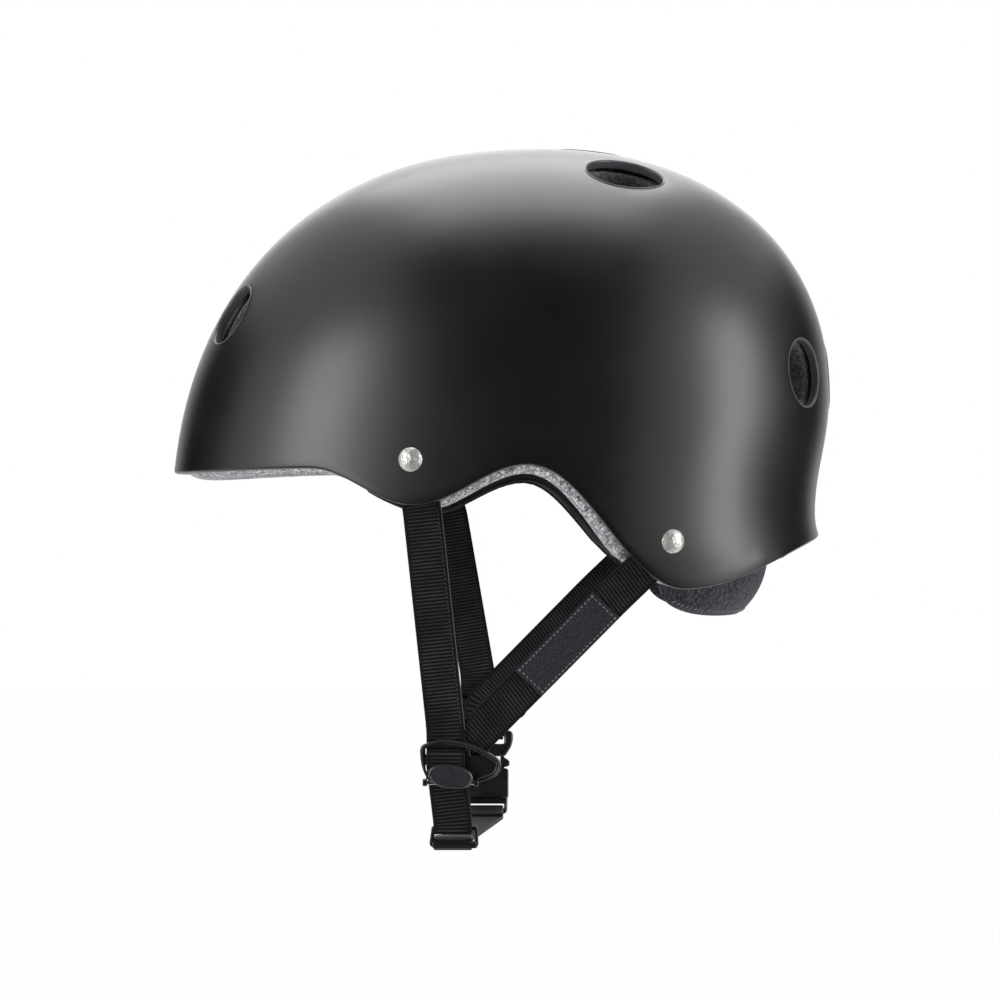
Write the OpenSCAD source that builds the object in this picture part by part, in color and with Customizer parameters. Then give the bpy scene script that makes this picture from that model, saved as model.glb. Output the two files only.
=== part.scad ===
// Open-ear water helmet: moulded shell, foam liner, comfort pads, webbing harness,
// two strap dividers with cam levers, a chin strap and a side-release buckle.
// The helmet faces -Y, +Z is up and +X is the wearer's left.
// Z is 0 at the brow edge and Y is 0 halfway along the shell.

/* [Shell] */
// Length of the shell from brow to back
shell_len = 287; // [240:1:345]
// Width of the shell at its widest
shell_wid = 225; // [188:1:270]
// Height of the crown above the brow edge
crown_h = 141.4; // [118:0.1:170]
// How far the widest section lies behind the middle
widest_y = 17.5; // [12:0.5:22]
// Wall of the moulded shell
shell_wall = 3.5; // [2.9:0.1:4.2]
// How far the back of the shell tucks in at the neck
neck_tuck = 6.2; // [3:0.1:8]

/* [Vents] */
// Diameter of the two large crown vents
crown_vent_d = 34; // [28:0.5:40]
// Diameter of the vent in the middle of the crown
centre_vent_d = 28; // [22:0.5:32]
// Diameter of the two brow vents
brow_vent_d = 27; // [22:0.5:32]
// Diameter of the three rear vents
rear_vent_d = 28; // [22:0.5:32]

/* [Liner and pads] */
// Shadow gap between the shell and the foam
liner_gap = 2.2; // [2:0.1:3]
// Thickness of the foam liner
liner_t = 16; // [13:0.5:19]
// Gap that the hook-and-loop dots fill
dot_gap = 1.6; // [1.5:0.1:2.5]
// Diameter of a hook-and-loop dot
dot_d = 16; // [12:1:20]
// Thickness of a comfort pad
pad_t = 8; // [6:0.5:10]
// Thickness of the nape pad
nape_t = 11; // [9:0.5:13]
// Height of the nape pad
nape_h = 34; // [28:1:41]

/* [Webbing] */
// Width of the harness webbing
web_w = 16; // [12.5:0.5:18]
// Thickness of the webbing
web_t = 1.4; // [1.1:0.1:1.7]
// Length of the woven label on the left rear strap
label_len = 46; // [38:1:55]
// Inward lean of the harness from vertical, in degrees
lean = 7.4; // [6:0.1:9]

/* [Rivets] */
// Diameter of a rivet's domed head
head_d = 10.5; // [8.5:0.1:12.5]
// Height of a rivet's domed head
head_h = 2.4; // [1.8:0.1:3]
// Diameter of a rivet's shank
shank_d = 4.6; // [3.8:0.1:5.5]
// Diameter of the washer behind the webbing
washer_d = 12; // [10:0.5:14]
// Thickness of the washer behind the webbing
washer_t = 1; // [0.8:0.1:1.3]

/* [Strap dividers] */
// Height of a divider frame
divider_h = 21; // [18:0.5:25]
// Thickness of a divider frame's plate
divider_t = 2; // [1.7:0.1:2.5]
// Length of the cam lever
lever_len = 18.8; // [16:0.2:22]
// Height of the cam lever
lever_h = 9.9; // [8:0.1:11]
// Diameter of a lever pin
pin_d = 1.8; // [1.5:0.1:2.2]

/* [Chin ring and buckle] */
// Diameter of the ring's wire
ring_bar_d = 1.8; // [1.5:0.1:2.2]
// Height of the ring over its bars
ring_h = 8.4; // [8:0.2:10]
// Thickness of the buckle socket
socket_t = 8; // [7.4:0.2:9.6]
// Wall of the buckle socket
socket_wall = 1.6; // [1.3:0.1:1.8]
// Depth that the plug reaches into the socket
plug_reach = 12.5; // [10.5:0.5:14]

/* [Hidden] */
$fn = 48;

// Clearances
fit = 0.05;          // radial running clearance of a pin
slip = 0.3;          // between pieces that move past each other
web_slip = 0.35;     // round webbing in a slot or on a bar
touch = 0.05;        // between hard pieces that lie against each other
lay = 0.25;          // between webbing and what it lies on
washer_lay = 0.6;    // between the webbing, which bends to the skin, and a flat washer

// Plan and profile roundness of the dome
plan_round = 2.1;
front_round = 2.3;
rear_round = 2.2;
side_round = 2.25;
front_low = 30;      // the front profile is upright this far below the brow edge
rear_low = 33;       // the rear profile is upright this far above it
side_low = 10;       // the side profile is upright this far above it
half_len = shell_len / 2;
front_reach_max = half_len + widest_y;
rear_reach_max = half_len - widest_y;
tail_flare = 2.3;
tail_flare_z = -17;
waist_in = 5;        // the sides draw in this much where they reach waist_drop below side_low
waist_drop = 58;
neck_drop = 50;      // the neck tucks in over this height

// Lower edge of the shell: share of the half length, and height
edge_line = [[-1, 0], [-0.55, 1.5], [-0.247, -13.8], [0.08, 2.8], [0.53, -48.3], [1.1, -24.5]];
// How far the liner shows below the shell: share of the half length, and drop
liner_drop = [[-1, 3], [-0.5, 3], [-0.25, -2], [0, 4], [0.25, 4], [0.5, -2], [1.1, -3]];
shell_cols = 72;
shell_rows = 14;
liner_cols = 60;
liner_rows = 11;

// Depths below the outer skin
liner_out = shell_wall + liner_gap;
liner_in = liner_out + liner_t;
pad_out = liner_in + dot_gap;
pad_in = pad_out + pad_t;

// Vents: side (0 is the middle), share of the half length, height share of the crown, diameter
vents = [
    [1, -0.80, 0.48, brow_vent_d], [-1, -0.80, 0.48, brow_vent_d],
    [1, 0.37, 0.90, crown_vent_d], [-1, 0.37, 0.90, crown_vent_d],
    [0, 0.27, 1, centre_vent_d],
    [1, 0.90, 0.30, rear_vent_d], [-1, 0.90, 0.30, rear_vent_d],
    [0, 0.96, 0.30, rear_vent_d]
];

// Rivets: share of the half length, and height
rivet_front = [-0.254, 5.1];
rivet_rear = [0.493, -28.3];
seat_depth = 0.35;
flange_d = 8;
flange_h = 1;
washer_depth = shell_wall + lay + web_t + washer_lay;
web_tail = 9;        // webbing past the rivet
tail_sink = 0.5;     // how far its end sinks to follow the shell's curve
leg_start = 14;      // flat run of a rear strap starts this far above the divider's turn
leg_end = 34;        // and ends this far below its rivet

// Harness plane: upright through this X at Z 0, leaning in by the lean angle
plane_x = shell_wid / 2 - shell_wall - 8;

// Dividers, in the harness plane: Y and Z of the frame's middle
left_divider = [-16.2, -119];
right_divider = [-4, -105.5];
divider_w = 33.6;
divider_corner = 4;
slot_shift = -6.2;                      // middle of the web slot from the frame's middle
slot_w = web_w + 2 * web_slip;
slot_h = web_t + 1.8;
slot_top = [2.3, 2.3 + slot_h];
slot_low = [-1.4 - slot_h, -1.4];
lever_pin_z = -8.6;
lever_t = 2.4;
lever_tilt = 9;                         // its oval leans down towards the back
web_front_n = divider_t / 2 + web_slip + web_t / 2;
web_back_n = -web_front_n;
lever_n = web_front_n + web_t / 2 + slip;
barrel_d = pin_d + 2.4;
lever_pin_n = max(lever_n + 0.3, divider_t / 2 + slip + barrel_d / 2);
ear_t = 1.8;

// Chin ring, in the harness plane
ring_y = -19.6;
ring_z = -151.4;
ring_in_w = web_w + 2 * web_slip;
ring_bar_gap = ring_h - ring_bar_d;
bar_wrap = ring_bar_d / 2 + web_slip + web_t / 2;
ring_n = web_back_n - bar_wrap;

// Buckle, in the right harness plane: its middle and its mouth
buckle_y = -6.5;
buckle_z = -135.7;
plug_bar_d = 2.6;
plug_bar_v = 16.2;
plug_loop_w = web_w + 9;
plug_wrap = plug_bar_d / 2 + web_slip + web_t / 2;
buckle_n = web_back_n - plug_wrap;
socket_w = web_w + 4.8;
socket_len = 21;
cavity_t = socket_t - 2 * socket_wall;
plug_t = cavity_t - 2 * slip;
cavity_w = socket_w - 2 * socket_wall;
socket_bar_d = 2.6;
socket_bar_v = -socket_len + socket_bar_d / 2;
socket_wrap = socket_bar_d / 2 + web_slip + web_t / 2;
prong_pivot = [cavity_w / 2 - 1.9, 7.6];
prong_w = 1.9;
barb_w = 1.1;
knuckle_r = 1.3;

// Chin strap
chin_lap = 24;       // length of webbing folded back and sewn
chin_split = 0.5;    // gap between the two lengths of chin strap
chin_layer = web_t + touch;

function unit(v) = v / norm(v);
function signed_pow(v, e) = sign(v) * pow(abs(v), e);
function superround(t, n) = pow(max(0, 1 - pow(max(0, t), n)), 1 / n);

// Height on a line of [share of the half length, height] points, eased between them
function eased(points, y) =
    let (s = y / half_len, last = len(points) - 1)
    s <= points[0][0] ? points[0][1] :
    s >= points[last][0] ? points[last][1] :
    let (i = max([for (k = [0 : last - 1]) if (points[k][0] <= s) k]))
    let (t = (s - points[i][0]) / (points[i + 1][0] - points[i][0]))
    points[i][1] + (points[i + 1][1] - points[i][1]) * (1 - cos(180 * t)) / 2;

// Half the dome's width and its reach to front and back at a height
function half_width(z) =
    z >= side_low
        ? shell_wid / 2 * superround((z - side_low) / (crown_h - side_low), side_round)
        : shell_wid / 2 - waist_in * pow((side_low - z) / waist_drop, 2);
function front_reach(z) =
    front_reach_max * superround((z + front_low) / (crown_h + front_low), front_round);
function tail(z) = z < tail_flare_z ? tail_flare * pow(min(1.5, (tail_flare_z - z) / 11.5), 2) : 0;
function rear_reach(z) =
    z >= rear_low
        ? rear_reach_max * superround((z - rear_low) / (crown_h - rear_low), rear_round)
        : rear_reach_max - neck_tuck * (1 - cos(180 * min(1, (rear_low - z) / neck_drop))) / 2 + tail(z);
function reach(z, front) = front ? front_reach(z) : rear_reach(z);

// Point of the outer skin at a plan angle (0 is the back, 90 the left) and a height
function skin(angle, z) = [
    half_width(z) * signed_pow(sin(angle), 2 / plan_round),
    widest_y + reach(z, cos(angle) < 0) * signed_pow(cos(angle), 2 / plan_round),
    z
];
// Outward normal of the skin at a point of it
function skin_normal(p) =
    let (
        z = min(p[2], crown_h - 0.02), e = 0.01, front = p[1] < widest_y,
        b = half_width(z), a = reach(z, front),
        db = (half_width(z + e) - half_width(z - e)) / (2 * e),
        da = (reach(z + e, front) - reach(z - e, front)) / (2 * e),
        u = abs(p[0]) / b, v = abs(p[1] - widest_y) / a
    )
    unit([
        sign(p[0]) * pow(u, plan_round - 1) / b,
        sign(p[1] - widest_y) * pow(v, plan_round - 1) / a,
        -pow(u, plan_round) * db / b - pow(v, plan_round) * da / a
    ]);
function skin_in(angle, z, depth) = let (p = skin(angle, z)) p - depth * skin_normal(p);
// The same, but moved in level, so that it keeps its height
function level_in(angle, z, depth) =
    let (p = skin(angle, z), n = skin_normal(p))
    p - depth * unit([n[0], n[1], 0]);
// Point of the skin beside a given Y and height, on the left when side is 1
function skin_beside(y, z, side) =
    let (v = abs(y - widest_y) / reach(z, y < widest_y))
    [side * half_width(z) * superround(v, plan_round), y, z];
// Point of the skin above a given X and Y, found by halving the height
function skin_above(x, y, low = 0, high = crown_h, k = 0) =
    k == 24 ? [x, y, low] :
    let (mid = (low + high) / 2, u = abs(x) / half_width(mid))
    let (v = abs(y - widest_y) / reach(mid, y < widest_y))
    pow(u, plan_round) + pow(v, plan_round) < 1
        ? skin_above(x, y, mid, high, k + 1)
        : skin_above(x, y, low, mid, k + 1);

// Height of the edge at a plan angle, where a line of points is followed at a depth
function shell_edge(angle, z = 0, k = 0) =
    k == 12 ? z : shell_edge(angle, eased(edge_line, skin(angle, z)[1]), k + 1);
function liner_edge(angle, depth, extra = 0, z = 0, k = 0) =
    k == 12 ? z :
    let (y = skin_in(angle, z, depth)[1])
    liner_edge(angle, depth, extra, eased(edge_line, y) - eased(liner_drop, y) - extra, k + 1);
// Height of a row between the edge (0) and the crown (1)
function row_z(edge_z, v) = edge_z + (crown_h - edge_z) * sin(90 * v);

function quad(a, b, c, d) = [[a, b, c], [a, c, d]];
function flat(lists) = [for (l = lists) for (e = l) e];
function flip(faces) = [for (f = faces) [f[2], f[1], f[0]]];
function rows_of_faces(start, rows, cols, closed) = flat([
    for (r = [0 : rows - 1]) for (c = [0 : cols - (closed ? 1 : 2)])
        let (a = start + r * cols, n = (c + 1) % cols) quad(a + c, a + n, a + cols + n, a + cols + c)
]);

// Closed dome wall between two depths, down to the height in edges for each column
module dome_wall(depth_out, depth_in, edges, rows, bulge = 0) {
    cols = len(edges);
    rim = bulge > 0 ? 3 : 0;
    function ring(v, depth) = [
        for (c = [0 : cols - 1]) skin_in(c * 360 / cols, row_z(edges[c], v), depth)
    ];
    rim_rings = [
        for (k = [1 : 1 : rim])
            let (f = k / (rim + 1), drop = bulge * sqrt(1 - pow(2 * f - 1, 2)))
            [for (p = ring(0, depth_in + (depth_out - depth_in) * f)) p - [0, 0, drop]]
    ];
    inner = [for (r = [rows - 1 : -1 : 0]) ring(r / rows, depth_in)];
    outer = [for (r = [0 : rows - 1]) ring(r / rows, depth_out)];
    rings = concat(inner, rim_rings, outer);
    body = flat(rings);
    last = len(rings) - 1;
    pole_in = len(body);
    crown = skin(0, crown_h);
    caps = flat([
        for (c = [0 : cols - 1])
            let (n = (c + 1) % cols)
            [[n, c, pole_in], [last * cols + c, last * cols + n, pole_in + 1]]
    ]);
    polyhedron(
        points = concat(body, [crown - [0, 0, depth_in], crown - [0, 0, depth_out]]),
        faces = concat(rows_of_faces(0, last, cols, true), caps)
    );
}

// Closed pad between two depths, over a span of plan angles and rows
module dome_patch(depth_out, depth_in, angles, spans, cols, rows) {
    n = cols + 1;
    function sheet(depth) = [
        for (r = [0 : rows]) for (c = [0 : cols])
            let (a = angles[0] + (angles[1] - angles[0]) * c / cols)
            let (v = spans[c][0] + (spans[c][1] - spans[c][0]) * r / rows)
            skin_in(a, v, depth)
    ];
    size = n * (rows + 1);
    function side(a, b) = quad(a, b, b + size, a + size);
    polyhedron(
        points = concat(sheet(depth_out), sheet(depth_in)),
        faces = concat(
            rows_of_faces(0, rows, n, false),
            flip(rows_of_faces(size, rows, n, false)),
            flat([for (c = [0 : cols - 1]) side(c + 1, c)]),
            flat([for (c = [0 : cols - 1]) side(rows * n + c, rows * n + c + 1)]),
            flat([for (r = [0 : rows - 1]) side(r * n, (r + 1) * n)]),
            flat([for (r = [0 : rows - 1]) side((r + 1) * n + cols, r * n + cols)])
        )
    );
}

// Puts a child on the skin at a point, with its +Z along the outward normal
module at_skin(p) {
    n = skin_normal(p);
    translate(p)
        rotate([0, acos(n[2]), atan2(n[1], n[0])])
            children();
}

// Middle of a vent on the skin
function vent_point(v) =
    v[0] == 0 && v[2] == 1 ? skin_above(0, v[1] * half_len) :
    v[0] == 0 ? skin(0, v[2] * crown_h) :
    let (y = v[1] * half_len, z = v[2] * crown_h)
    let (u = superround(abs(y - widest_y) / reach(z, y < widest_y), plan_round))
    [v[0] * half_width(z) * u, y, z];

module vent_holes(grow) {
    for (v = vents)
        at_skin(vent_point(v)) cylinder(d = v[3] + grow, h = 80, center = true, $fn = 96);
}

// Rivet places on the skin: front and rear on each side
function rivet_point(r, side) = skin_beside(r[0] * half_len, r[1], side);
rivets = [for (side = [1, -1]) for (r = [rivet_front, rivet_rear]) rivet_point(r, side)];

// Point of the left harness plane: Y, height and distance outwards
function on_plane(y, z, n) =
    [plane_x + z * tan(lean), y, z] + n * [cos(lean), 0, -sin(lean)];
function plane_up() = [sin(lean), 0, cos(lean)];
function plane_out() = [cos(lean), 0, -sin(lean)];
// Puts a child drawn in X (backwards), Y (up) and Z (outwards) on that plane
module on_harness(y, z, n = 0) {
    translate(on_plane(y, z, n))
        rotate([0, lean, 0])
            rotate([90, 0, 90])
                children();
}
module right_side() {
    mirror([1, 0, 0]) children();
}

// Path of [point, width direction] stations with its corners rounded
function rounded(path, radius, steps) = [
    for (i = [0 : len(path) - 1])
        if (i == 0 || i == len(path) - 1) path[i]
        else let (
            p = path[i][0], a = path[i - 1][0] - p, b = path[i + 1][0] - p,
            r = min(radius[i], norm(a) * 0.49, norm(b) * 0.49),
            start = p + r * unit(a), end = p + r * unit(b)
        )
        for (k = [0 : steps])
            let (t = k / steps)
            [
                (1 - t) * (1 - t) * start + 2 * t * (1 - t) * p + t * t * end,
                unit(path[i - 1][1] * (1 - t) / 2 + path[i][1] + path[i + 1][1] * t / 2)
            ]
];

// Flat ribbon swept along stations
module ribbon(path, width, thick) {
    last = len(path) - 1;
    corners = flat([
        for (i = [0 : last])
            let (
                p = path[i][0],
                t = unit(path[min(i + 1, last)][0] - path[max(i - 1, 0)][0]),
                n = unit(cross(t, path[i][1])),
                w = cross(n, t)
            )
            [for (s = [[1, 1], [1, -1], [-1, -1], [-1, 1]])
                p + w * s[0] * width / 2 + n * s[1] * thick / 2]
    ]);
    polyhedron(
        points = corners,
        faces = concat(
            [[2, 1, 0], [3, 2, 0]],
            rows_of_faces(0, last, 4, true),
            [[4 * last, 4 * last + 1, 4 * last + 2], [4 * last, 4 * last + 2, 4 * last + 3]]
        )
    );
}

// Width direction of a leg of webbing that runs up along "dir" with "out" as its outer face
function across(dir, out) = unit(cross(dir, out));
// Direction turned to lie along a surface with normal n
function along_skin(dir, n) = unit(dir - (dir * n) * n);

// One side's harness webbing, from the front rivet through the divider,
// round the bar and back up to the rear rivet
function web_stations(divider, bar, bar_radius, front_knee) =
    let (
        front = rivet_point(rivet_front, 1), rear = rivet_point(rivet_rear, 1),
        sink = shell_wall + lay + web_t / 2,
        front_n = skin_normal(front), rear_n = skin_normal(rear),
        f0 = front - sink * front_n, r0 = rear - sink * rear_n,
        knee = on_plane(front_knee[0], front_knee[1], 0),
        slot_y = divider[0] + slot_shift, zc = divider[1],
        level = [0, 1, 0],
        f_up = along_skin(f0 - knee, front_n),
        mid_top = (slot_top[0] + slot_top[1]) / 2, mid_low = (slot_low[0] + slot_low[1]) / 2,
        top_in = on_plane(slot_y, zc + divider_h / 2 + 2, web_back_n),
        leg_up = unit(knee - top_in),
        turn = on_plane(slot_y + 1.4, zc - 1.6, web_back_n - web_t - 0.4),
        r_leg = unit(r0 - turn),
        r_side = across(r_leg, plane_out()),
        r_up = along_skin(r_leg, rear_n),
        bar_y = bar[0], bar_z = bar[1]
    )
    [
        [f0 + web_tail * f_up - tail_sink * front_n, across(f_up, front_n)],
        [f0, across(f_up, front_n)],
        [f0 - web_tail * f_up - tail_sink * front_n, across(f_up, front_n)],
        [knee, across(leg_up, plane_out())],
        [top_in, level],
        [on_plane(slot_y, zc + mid_top, web_back_n), level],
        [on_plane(slot_y, zc + mid_top, web_front_n), level],
        [on_plane(slot_y, zc + mid_low, web_front_n), level],
        [on_plane(slot_y, zc + mid_low, web_back_n), level],
        [on_plane(bar_y, bar_z + 1.2 * bar_radius, web_back_n), level],
        [on_plane(bar_y, bar_z - bar_radius, web_back_n), level],
        [on_plane(bar_y, bar_z - bar_radius, web_back_n - 2 * bar_radius), level],
        [on_plane(bar_y, bar_z + 1.2 * bar_radius, web_back_n - 2 * bar_radius), level],
        [on_plane(slot_y + 1.4, zc - divider_h / 2 + 2, web_back_n - web_t - 0.6), level],
        [turn, unit(level + r_side)],
        [turn + leg_start * r_leg, r_side],
        [r0 - leg_end * r_leg, r_side],
        [r0 - web_tail * r_up - tail_sink * rear_n, across(r_up, rear_n)],
        [r0, across(r_up, rear_n)],
        [r0 + web_tail * r_up - tail_sink * rear_n, across(r_up, rear_n)]
    ];
function web_radii(bar_radius) = [
    0, 4, 6, 10, 6, 1.6, 1.6, 1.6, 1.6, 3, bar_radius, bar_radius, 3, 3, 10, 4, 6, 6, 4, 0
];
function web_path(divider, bar, bar_radius, front_knee) =
    rounded(web_stations(divider, bar, bar_radius, front_knee), web_radii(bar_radius), 5);

left_knee = [-32, -14];
right_knee = [-24, -14];
left_bar = [ring_y, ring_z + ring_bar_gap / 2];
right_bar = [buckle_y, buckle_z + plug_bar_v];
left_path = web_path(left_divider, left_bar, bar_wrap, left_knee);
right_path = web_path(right_divider, right_bar, plug_wrap, right_knee);

module web_rivet_holes() {
    for (p = rivets)
        at_skin(p) cylinder(d = shank_d + 2 * touch, h = 30, center = true);
}

module outer_shell() {
    edges = [for (c = [0 : shell_cols - 1]) shell_edge(c * 360 / shell_cols)];
    color([0.16, 0.16, 0.17])
    difference() {
        dome_wall(0, shell_wall, edges, shell_rows);
        vent_holes(0);
        for (p = rivets)
            at_skin(p) {
                cylinder(d = shank_d + 2 * touch, h = 20, center = true);
                translate([0, 0, -seat_depth]) cylinder(d = head_d + 0.6, h = 4);
            }
    }
}

// Webbing and rivet room cut out of the foam
module liner_room() {
    for (p = rivets)
        at_skin(p)
            translate([0, 0, -liner_out - 3.4]) cylinder(d = washer_d + 2.4, h = 20);
    ribbon(left_path, web_w + 2, web_t + 2);
    right_side() ribbon(right_path, web_w + 2, web_t + 2);
}

module foam_liner() {
    edges = [for (c = [0 : liner_cols - 1]) liner_edge(c * 360 / liner_cols, liner_out)];
    color([0.75, 0.75, 0.76])
    difference() {
        dome_wall(liner_out, liner_in, edges, liner_rows, 3);
        vent_holes(-1);
        liner_room();
    }
}

// Comfort pad over plan angles, between heights above the liner's edge and below the crown
module comfort_pad(angles, low, top_z, cols = 8, rows = 4) {
    spans = [
        for (c = [0 : cols])
            let (a = angles[0] + (angles[1] - angles[0]) * c / cols)
            [liner_edge(a, liner_in, -low), top_z]
    ];
    dome_patch(pad_out, pad_in, angles, spans, cols, rows);
}

module brow_pad() {
    color([0.1, 0.1, 0.11]) comfort_pad([152, 208], 6, 38);
}
module rear_pad() {
    color([0.1, 0.1, 0.11]) comfort_pad([-30, 30], 30, 48);
}
module left_side_pad() {
    color([0.1, 0.1, 0.11]) comfort_pad([62, 122], -3, 46);
}
module right_side_pad() {
    right_side() left_side_pad();
}
crown_pad_share = 0.93;   // its edge lies at this share of the crown's height
module crown_pad() {
    color([0.1, 0.1, 0.11])
        dome_wall(pad_out, pad_in, [for (c = [0 : 23]) crown_h * crown_pad_share], 4);
}

// Hook-and-loop dots between the liner and the pads: plan angle from the back and height
dot_t = dot_gap * 0.35;
dot_low = dot_gap * 0.95;
module pad_fasteners() {
    dots = [
        [160, 20], [200, 20], [180, 26], [76, 20], [92, 26], [108, 20],
        [-76, 20], [-92, 26], [-108, 20], [18, 30], [-18, 30], [0, 36]
    ];
    color([0.2, 0.2, 0.21]) {
        for (d = dots)
            at_skin(skin(d[0], d[1]))
                translate([0, 0, -liner_in - dot_low]) cylinder(d = dot_d, h = dot_t);
        at_skin(skin_above(0, widest_y + 1))
            translate([0, 0, -liner_in - dot_low]) cylinder(d = dot_d, h = dot_t);
    }
}

// Padded band at the back of the neck, tucked under the shell's tail
nape_half = 58;      // half its span round the neck, in degrees
nape_top = -27;
nape_depth = liner_in + 2.6;
nape_lean = 10;      // how far its foot leans in
nape_follow = -34;   // it follows the skin's curve down to this height
module nape_pad() {
    cols = 20;
    rows = 4;
    n = 12;
    angle_step = 2 * nape_half / cols;
    // Cross-section: an upright rounded pad that leans in towards its foot
    function section(a) =
        let (ends = sqrt(max(0, 1 - pow(a / nape_half, 6))))
        let (foot = nape_top - nape_h * (0.62 + 0.38 * ends))
        [for (k = [0 : n - 1])
            let (t = 360 * k / n, up = (1 + sin(t)) / 2)
            let (z = foot + (nape_top - foot) * up)
            let (d = nape_depth + nape_t / 2 * (1 - cos(t)) + nape_lean * pow(1 - up, 2))
            level_in(a, max(z, nape_follow), d) + [0, 0, min(0, z - nape_follow)]];
    rings = [for (c = [0 : cols]) section(-nape_half + c * angle_step)];
    color([0.15, 0.15, 0.16])
    polyhedron(
        points = flat(rings),
        faces = concat(
            flip(rows_of_faces(0, cols, n, true)),
            [for (k = [1 : n - 2]) [0, k, k + 1]],
            [for (k = [1 : n - 2]) [cols * n, cols * n + k + 1, cols * n + k]]
        )
    );
}

// Domed rivets through the shell, the webbing and the washer
module strap_rivets() {
    grip = washer_depth + washer_t;
    dome_r = (pow(head_d / 2, 2) + pow(head_h, 2)) / (2 * head_h);
    color([0.78, 0.78, 0.78])
    for (p = rivets)
        at_skin(p)
            rotate_extrude() {
                intersection() {
                    translate([0, head_h - dome_r - seat_depth]) circle(r = dome_r, $fn = 96);
                    translate([0, -seat_depth]) square([head_d / 2, head_h]);
                }
                translate([0, -grip - touch]) square([shank_d / 2, grip + touch - seat_depth]);
                translate([0, -grip - touch - flange_h]) square([flange_d / 2, flange_h]);
            }
}
module rivet_washers() {
    color([0.6, 0.6, 0.62])
    for (p = rivets)
        at_skin(p)
            translate([0, 0, -washer_depth - washer_t])
                difference() {
                    cylinder(d = washer_d, h = washer_t);
                    translate([0, 0, -1]) cylinder(d = shank_d + 2 * touch, h = washer_t + 2);
                }
}

module left_webbing() {
    color([0.07, 0.07, 0.08])
    difference() {
        ribbon(left_path, web_w, web_t);
        web_rivet_holes();
    }
}
module right_webbing() {
    color([0.07, 0.07, 0.08])
    difference() {
        right_side() ribbon(right_path, web_w, web_t);
        web_rivet_holes();
    }
}

// Bare woven label sewn on the outer face of the left rear strap
label_t = 0.6;
label_start = 33;    // from the start of the strap's flat run
module strap_label() {
    stations = web_stations(left_divider, left_bar, bar_wrap, left_knee);
    low = stations[15][0];
    dir = unit(stations[16][0] - low);
    side = stations[15][1];
    from = low + dir * label_start + cross(side, dir) * ((web_t + label_t) / 2 + lay / 2);
    color([0.3, 0.3, 0.32])
        ribbon([[from, side], [from + dir * label_len, side]], web_w - 1, label_t);
}

// Outline of a divider frame: round front corners and a top edge that falls to the rear tip
module divider_outline() {
    w = divider_w / 2;
    h = divider_h / 2;
    r = divider_corner;
    tip_y = -1;
    polygon(concat(
        [for (k = [0 : 6]) [-w + r - r * cos(15 * k), h - r + r * sin(15 * k)]],
        [for (k = [1 : 14])
            let (t = k / 14)
            [-w + r + (2 * w - r) * sin(90 * t), tip_y + (h - tip_y) * pow(cos(90 * t), 0.9)]],
        [for (k = [1 : 8])
            let (t = k / 8)
            [w - 9 * (1 - cos(90 * t)) - 2 * t, tip_y - (h + tip_y) * sin(90 * t)]],
        [for (k = [0 : 6]) [-w + r - r * sin(15 * k), -h + r - r * cos(15 * k)]]
    ));
}
module slot(middle, width, span) {
    translate([middle - width / 2, span[0], -10]) cube([width, span[1] - span[0], 20]);
}
module divider_frame() {
    ear_in = lever_len / 2 + slip;
    difference() {
        union() {
            translate([0, 0, -divider_t / 2]) linear_extrude(divider_t) divider_outline();
            for (s = [-1, 1])
                translate([slot_shift + 2 + s * (ear_in + ear_t / 2) - ear_t / 2, lever_pin_z, 0])
                    rotate([0, 90, 0]) {
                        translate([-lever_pin_n, 0, 0]) cylinder(r = pin_d / 2 + 1.2, h = ear_t);
                        translate([-lever_pin_n, -pin_d / 2 - 1.2, 0])
                            cube([lever_pin_n, pin_d + 2.4, ear_t]);
                    }
        }
        slot(slot_shift, slot_w, slot_top);
        slot(slot_shift, slot_w, slot_low);
        slot(slot_shift + slot_w / 2 + 4.2, 5, slot_top);
        translate([slot_shift + 2, lever_pin_z, lever_pin_n])
            rotate([0, 90, 0]) cylinder(d = pin_d, h = 60, center = true);
    }
}
// Oval lever with a barrel on the pin
module divider_lever() {
    barrel = lever_len - 1;
    difference() {
        union() {
            translate([slot_shift + 2, lever_pin_z - barrel_d / 2 + lever_h / 2, lever_n])
                linear_extrude(lever_t)
                    rotate(-lever_tilt)
                        polygon([for (a = [0 : 7.5 : 352.5])
                            [lever_len / 2 * signed_pow(cos(a), 0.9),
                                lever_h / 2 * signed_pow(sin(a), 0.9)]]);
            translate([slot_shift + 2 - barrel / 2, lever_pin_z, lever_pin_n])
                rotate([0, 90, 0]) cylinder(d = barrel_d, h = barrel);
        }
        translate([slot_shift + 2, lever_pin_z, lever_pin_n])
            rotate([0, 90, 0]) cylinder(d = pin_d + 2 * fit, h = 60, center = true);
    }
}
module lever_pin() {
    reach_out = lever_len / 2 + slip + ear_t;
    translate([slot_shift + 2 - reach_out, lever_pin_z, lever_pin_n])
        rotate([0, 90, 0]) cylinder(d = pin_d, h = 2 * reach_out);
}

module left_divider_frame() {
    color([0.1, 0.1, 0.1]) on_harness(left_divider[0], left_divider[1]) divider_frame();
}
module left_divider_lever() {
    color([0.12, 0.12, 0.12]) on_harness(left_divider[0], left_divider[1]) divider_lever();
}
module left_lever_pin() {
    color([0.6, 0.6, 0.6]) on_harness(left_divider[0], left_divider[1]) lever_pin();
}
module right_divider_frame() {
    color([0.1, 0.1, 0.1])
        right_side() on_harness(right_divider[0], right_divider[1]) divider_frame();
}
module right_divider_lever() {
    color([0.12, 0.12, 0.12])
        right_side() on_harness(right_divider[0], right_divider[1]) divider_lever();
}
module right_lever_pin() {
    color([0.6, 0.6, 0.6])
        right_side() on_harness(right_divider[0], right_divider[1]) lever_pin();
}

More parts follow.
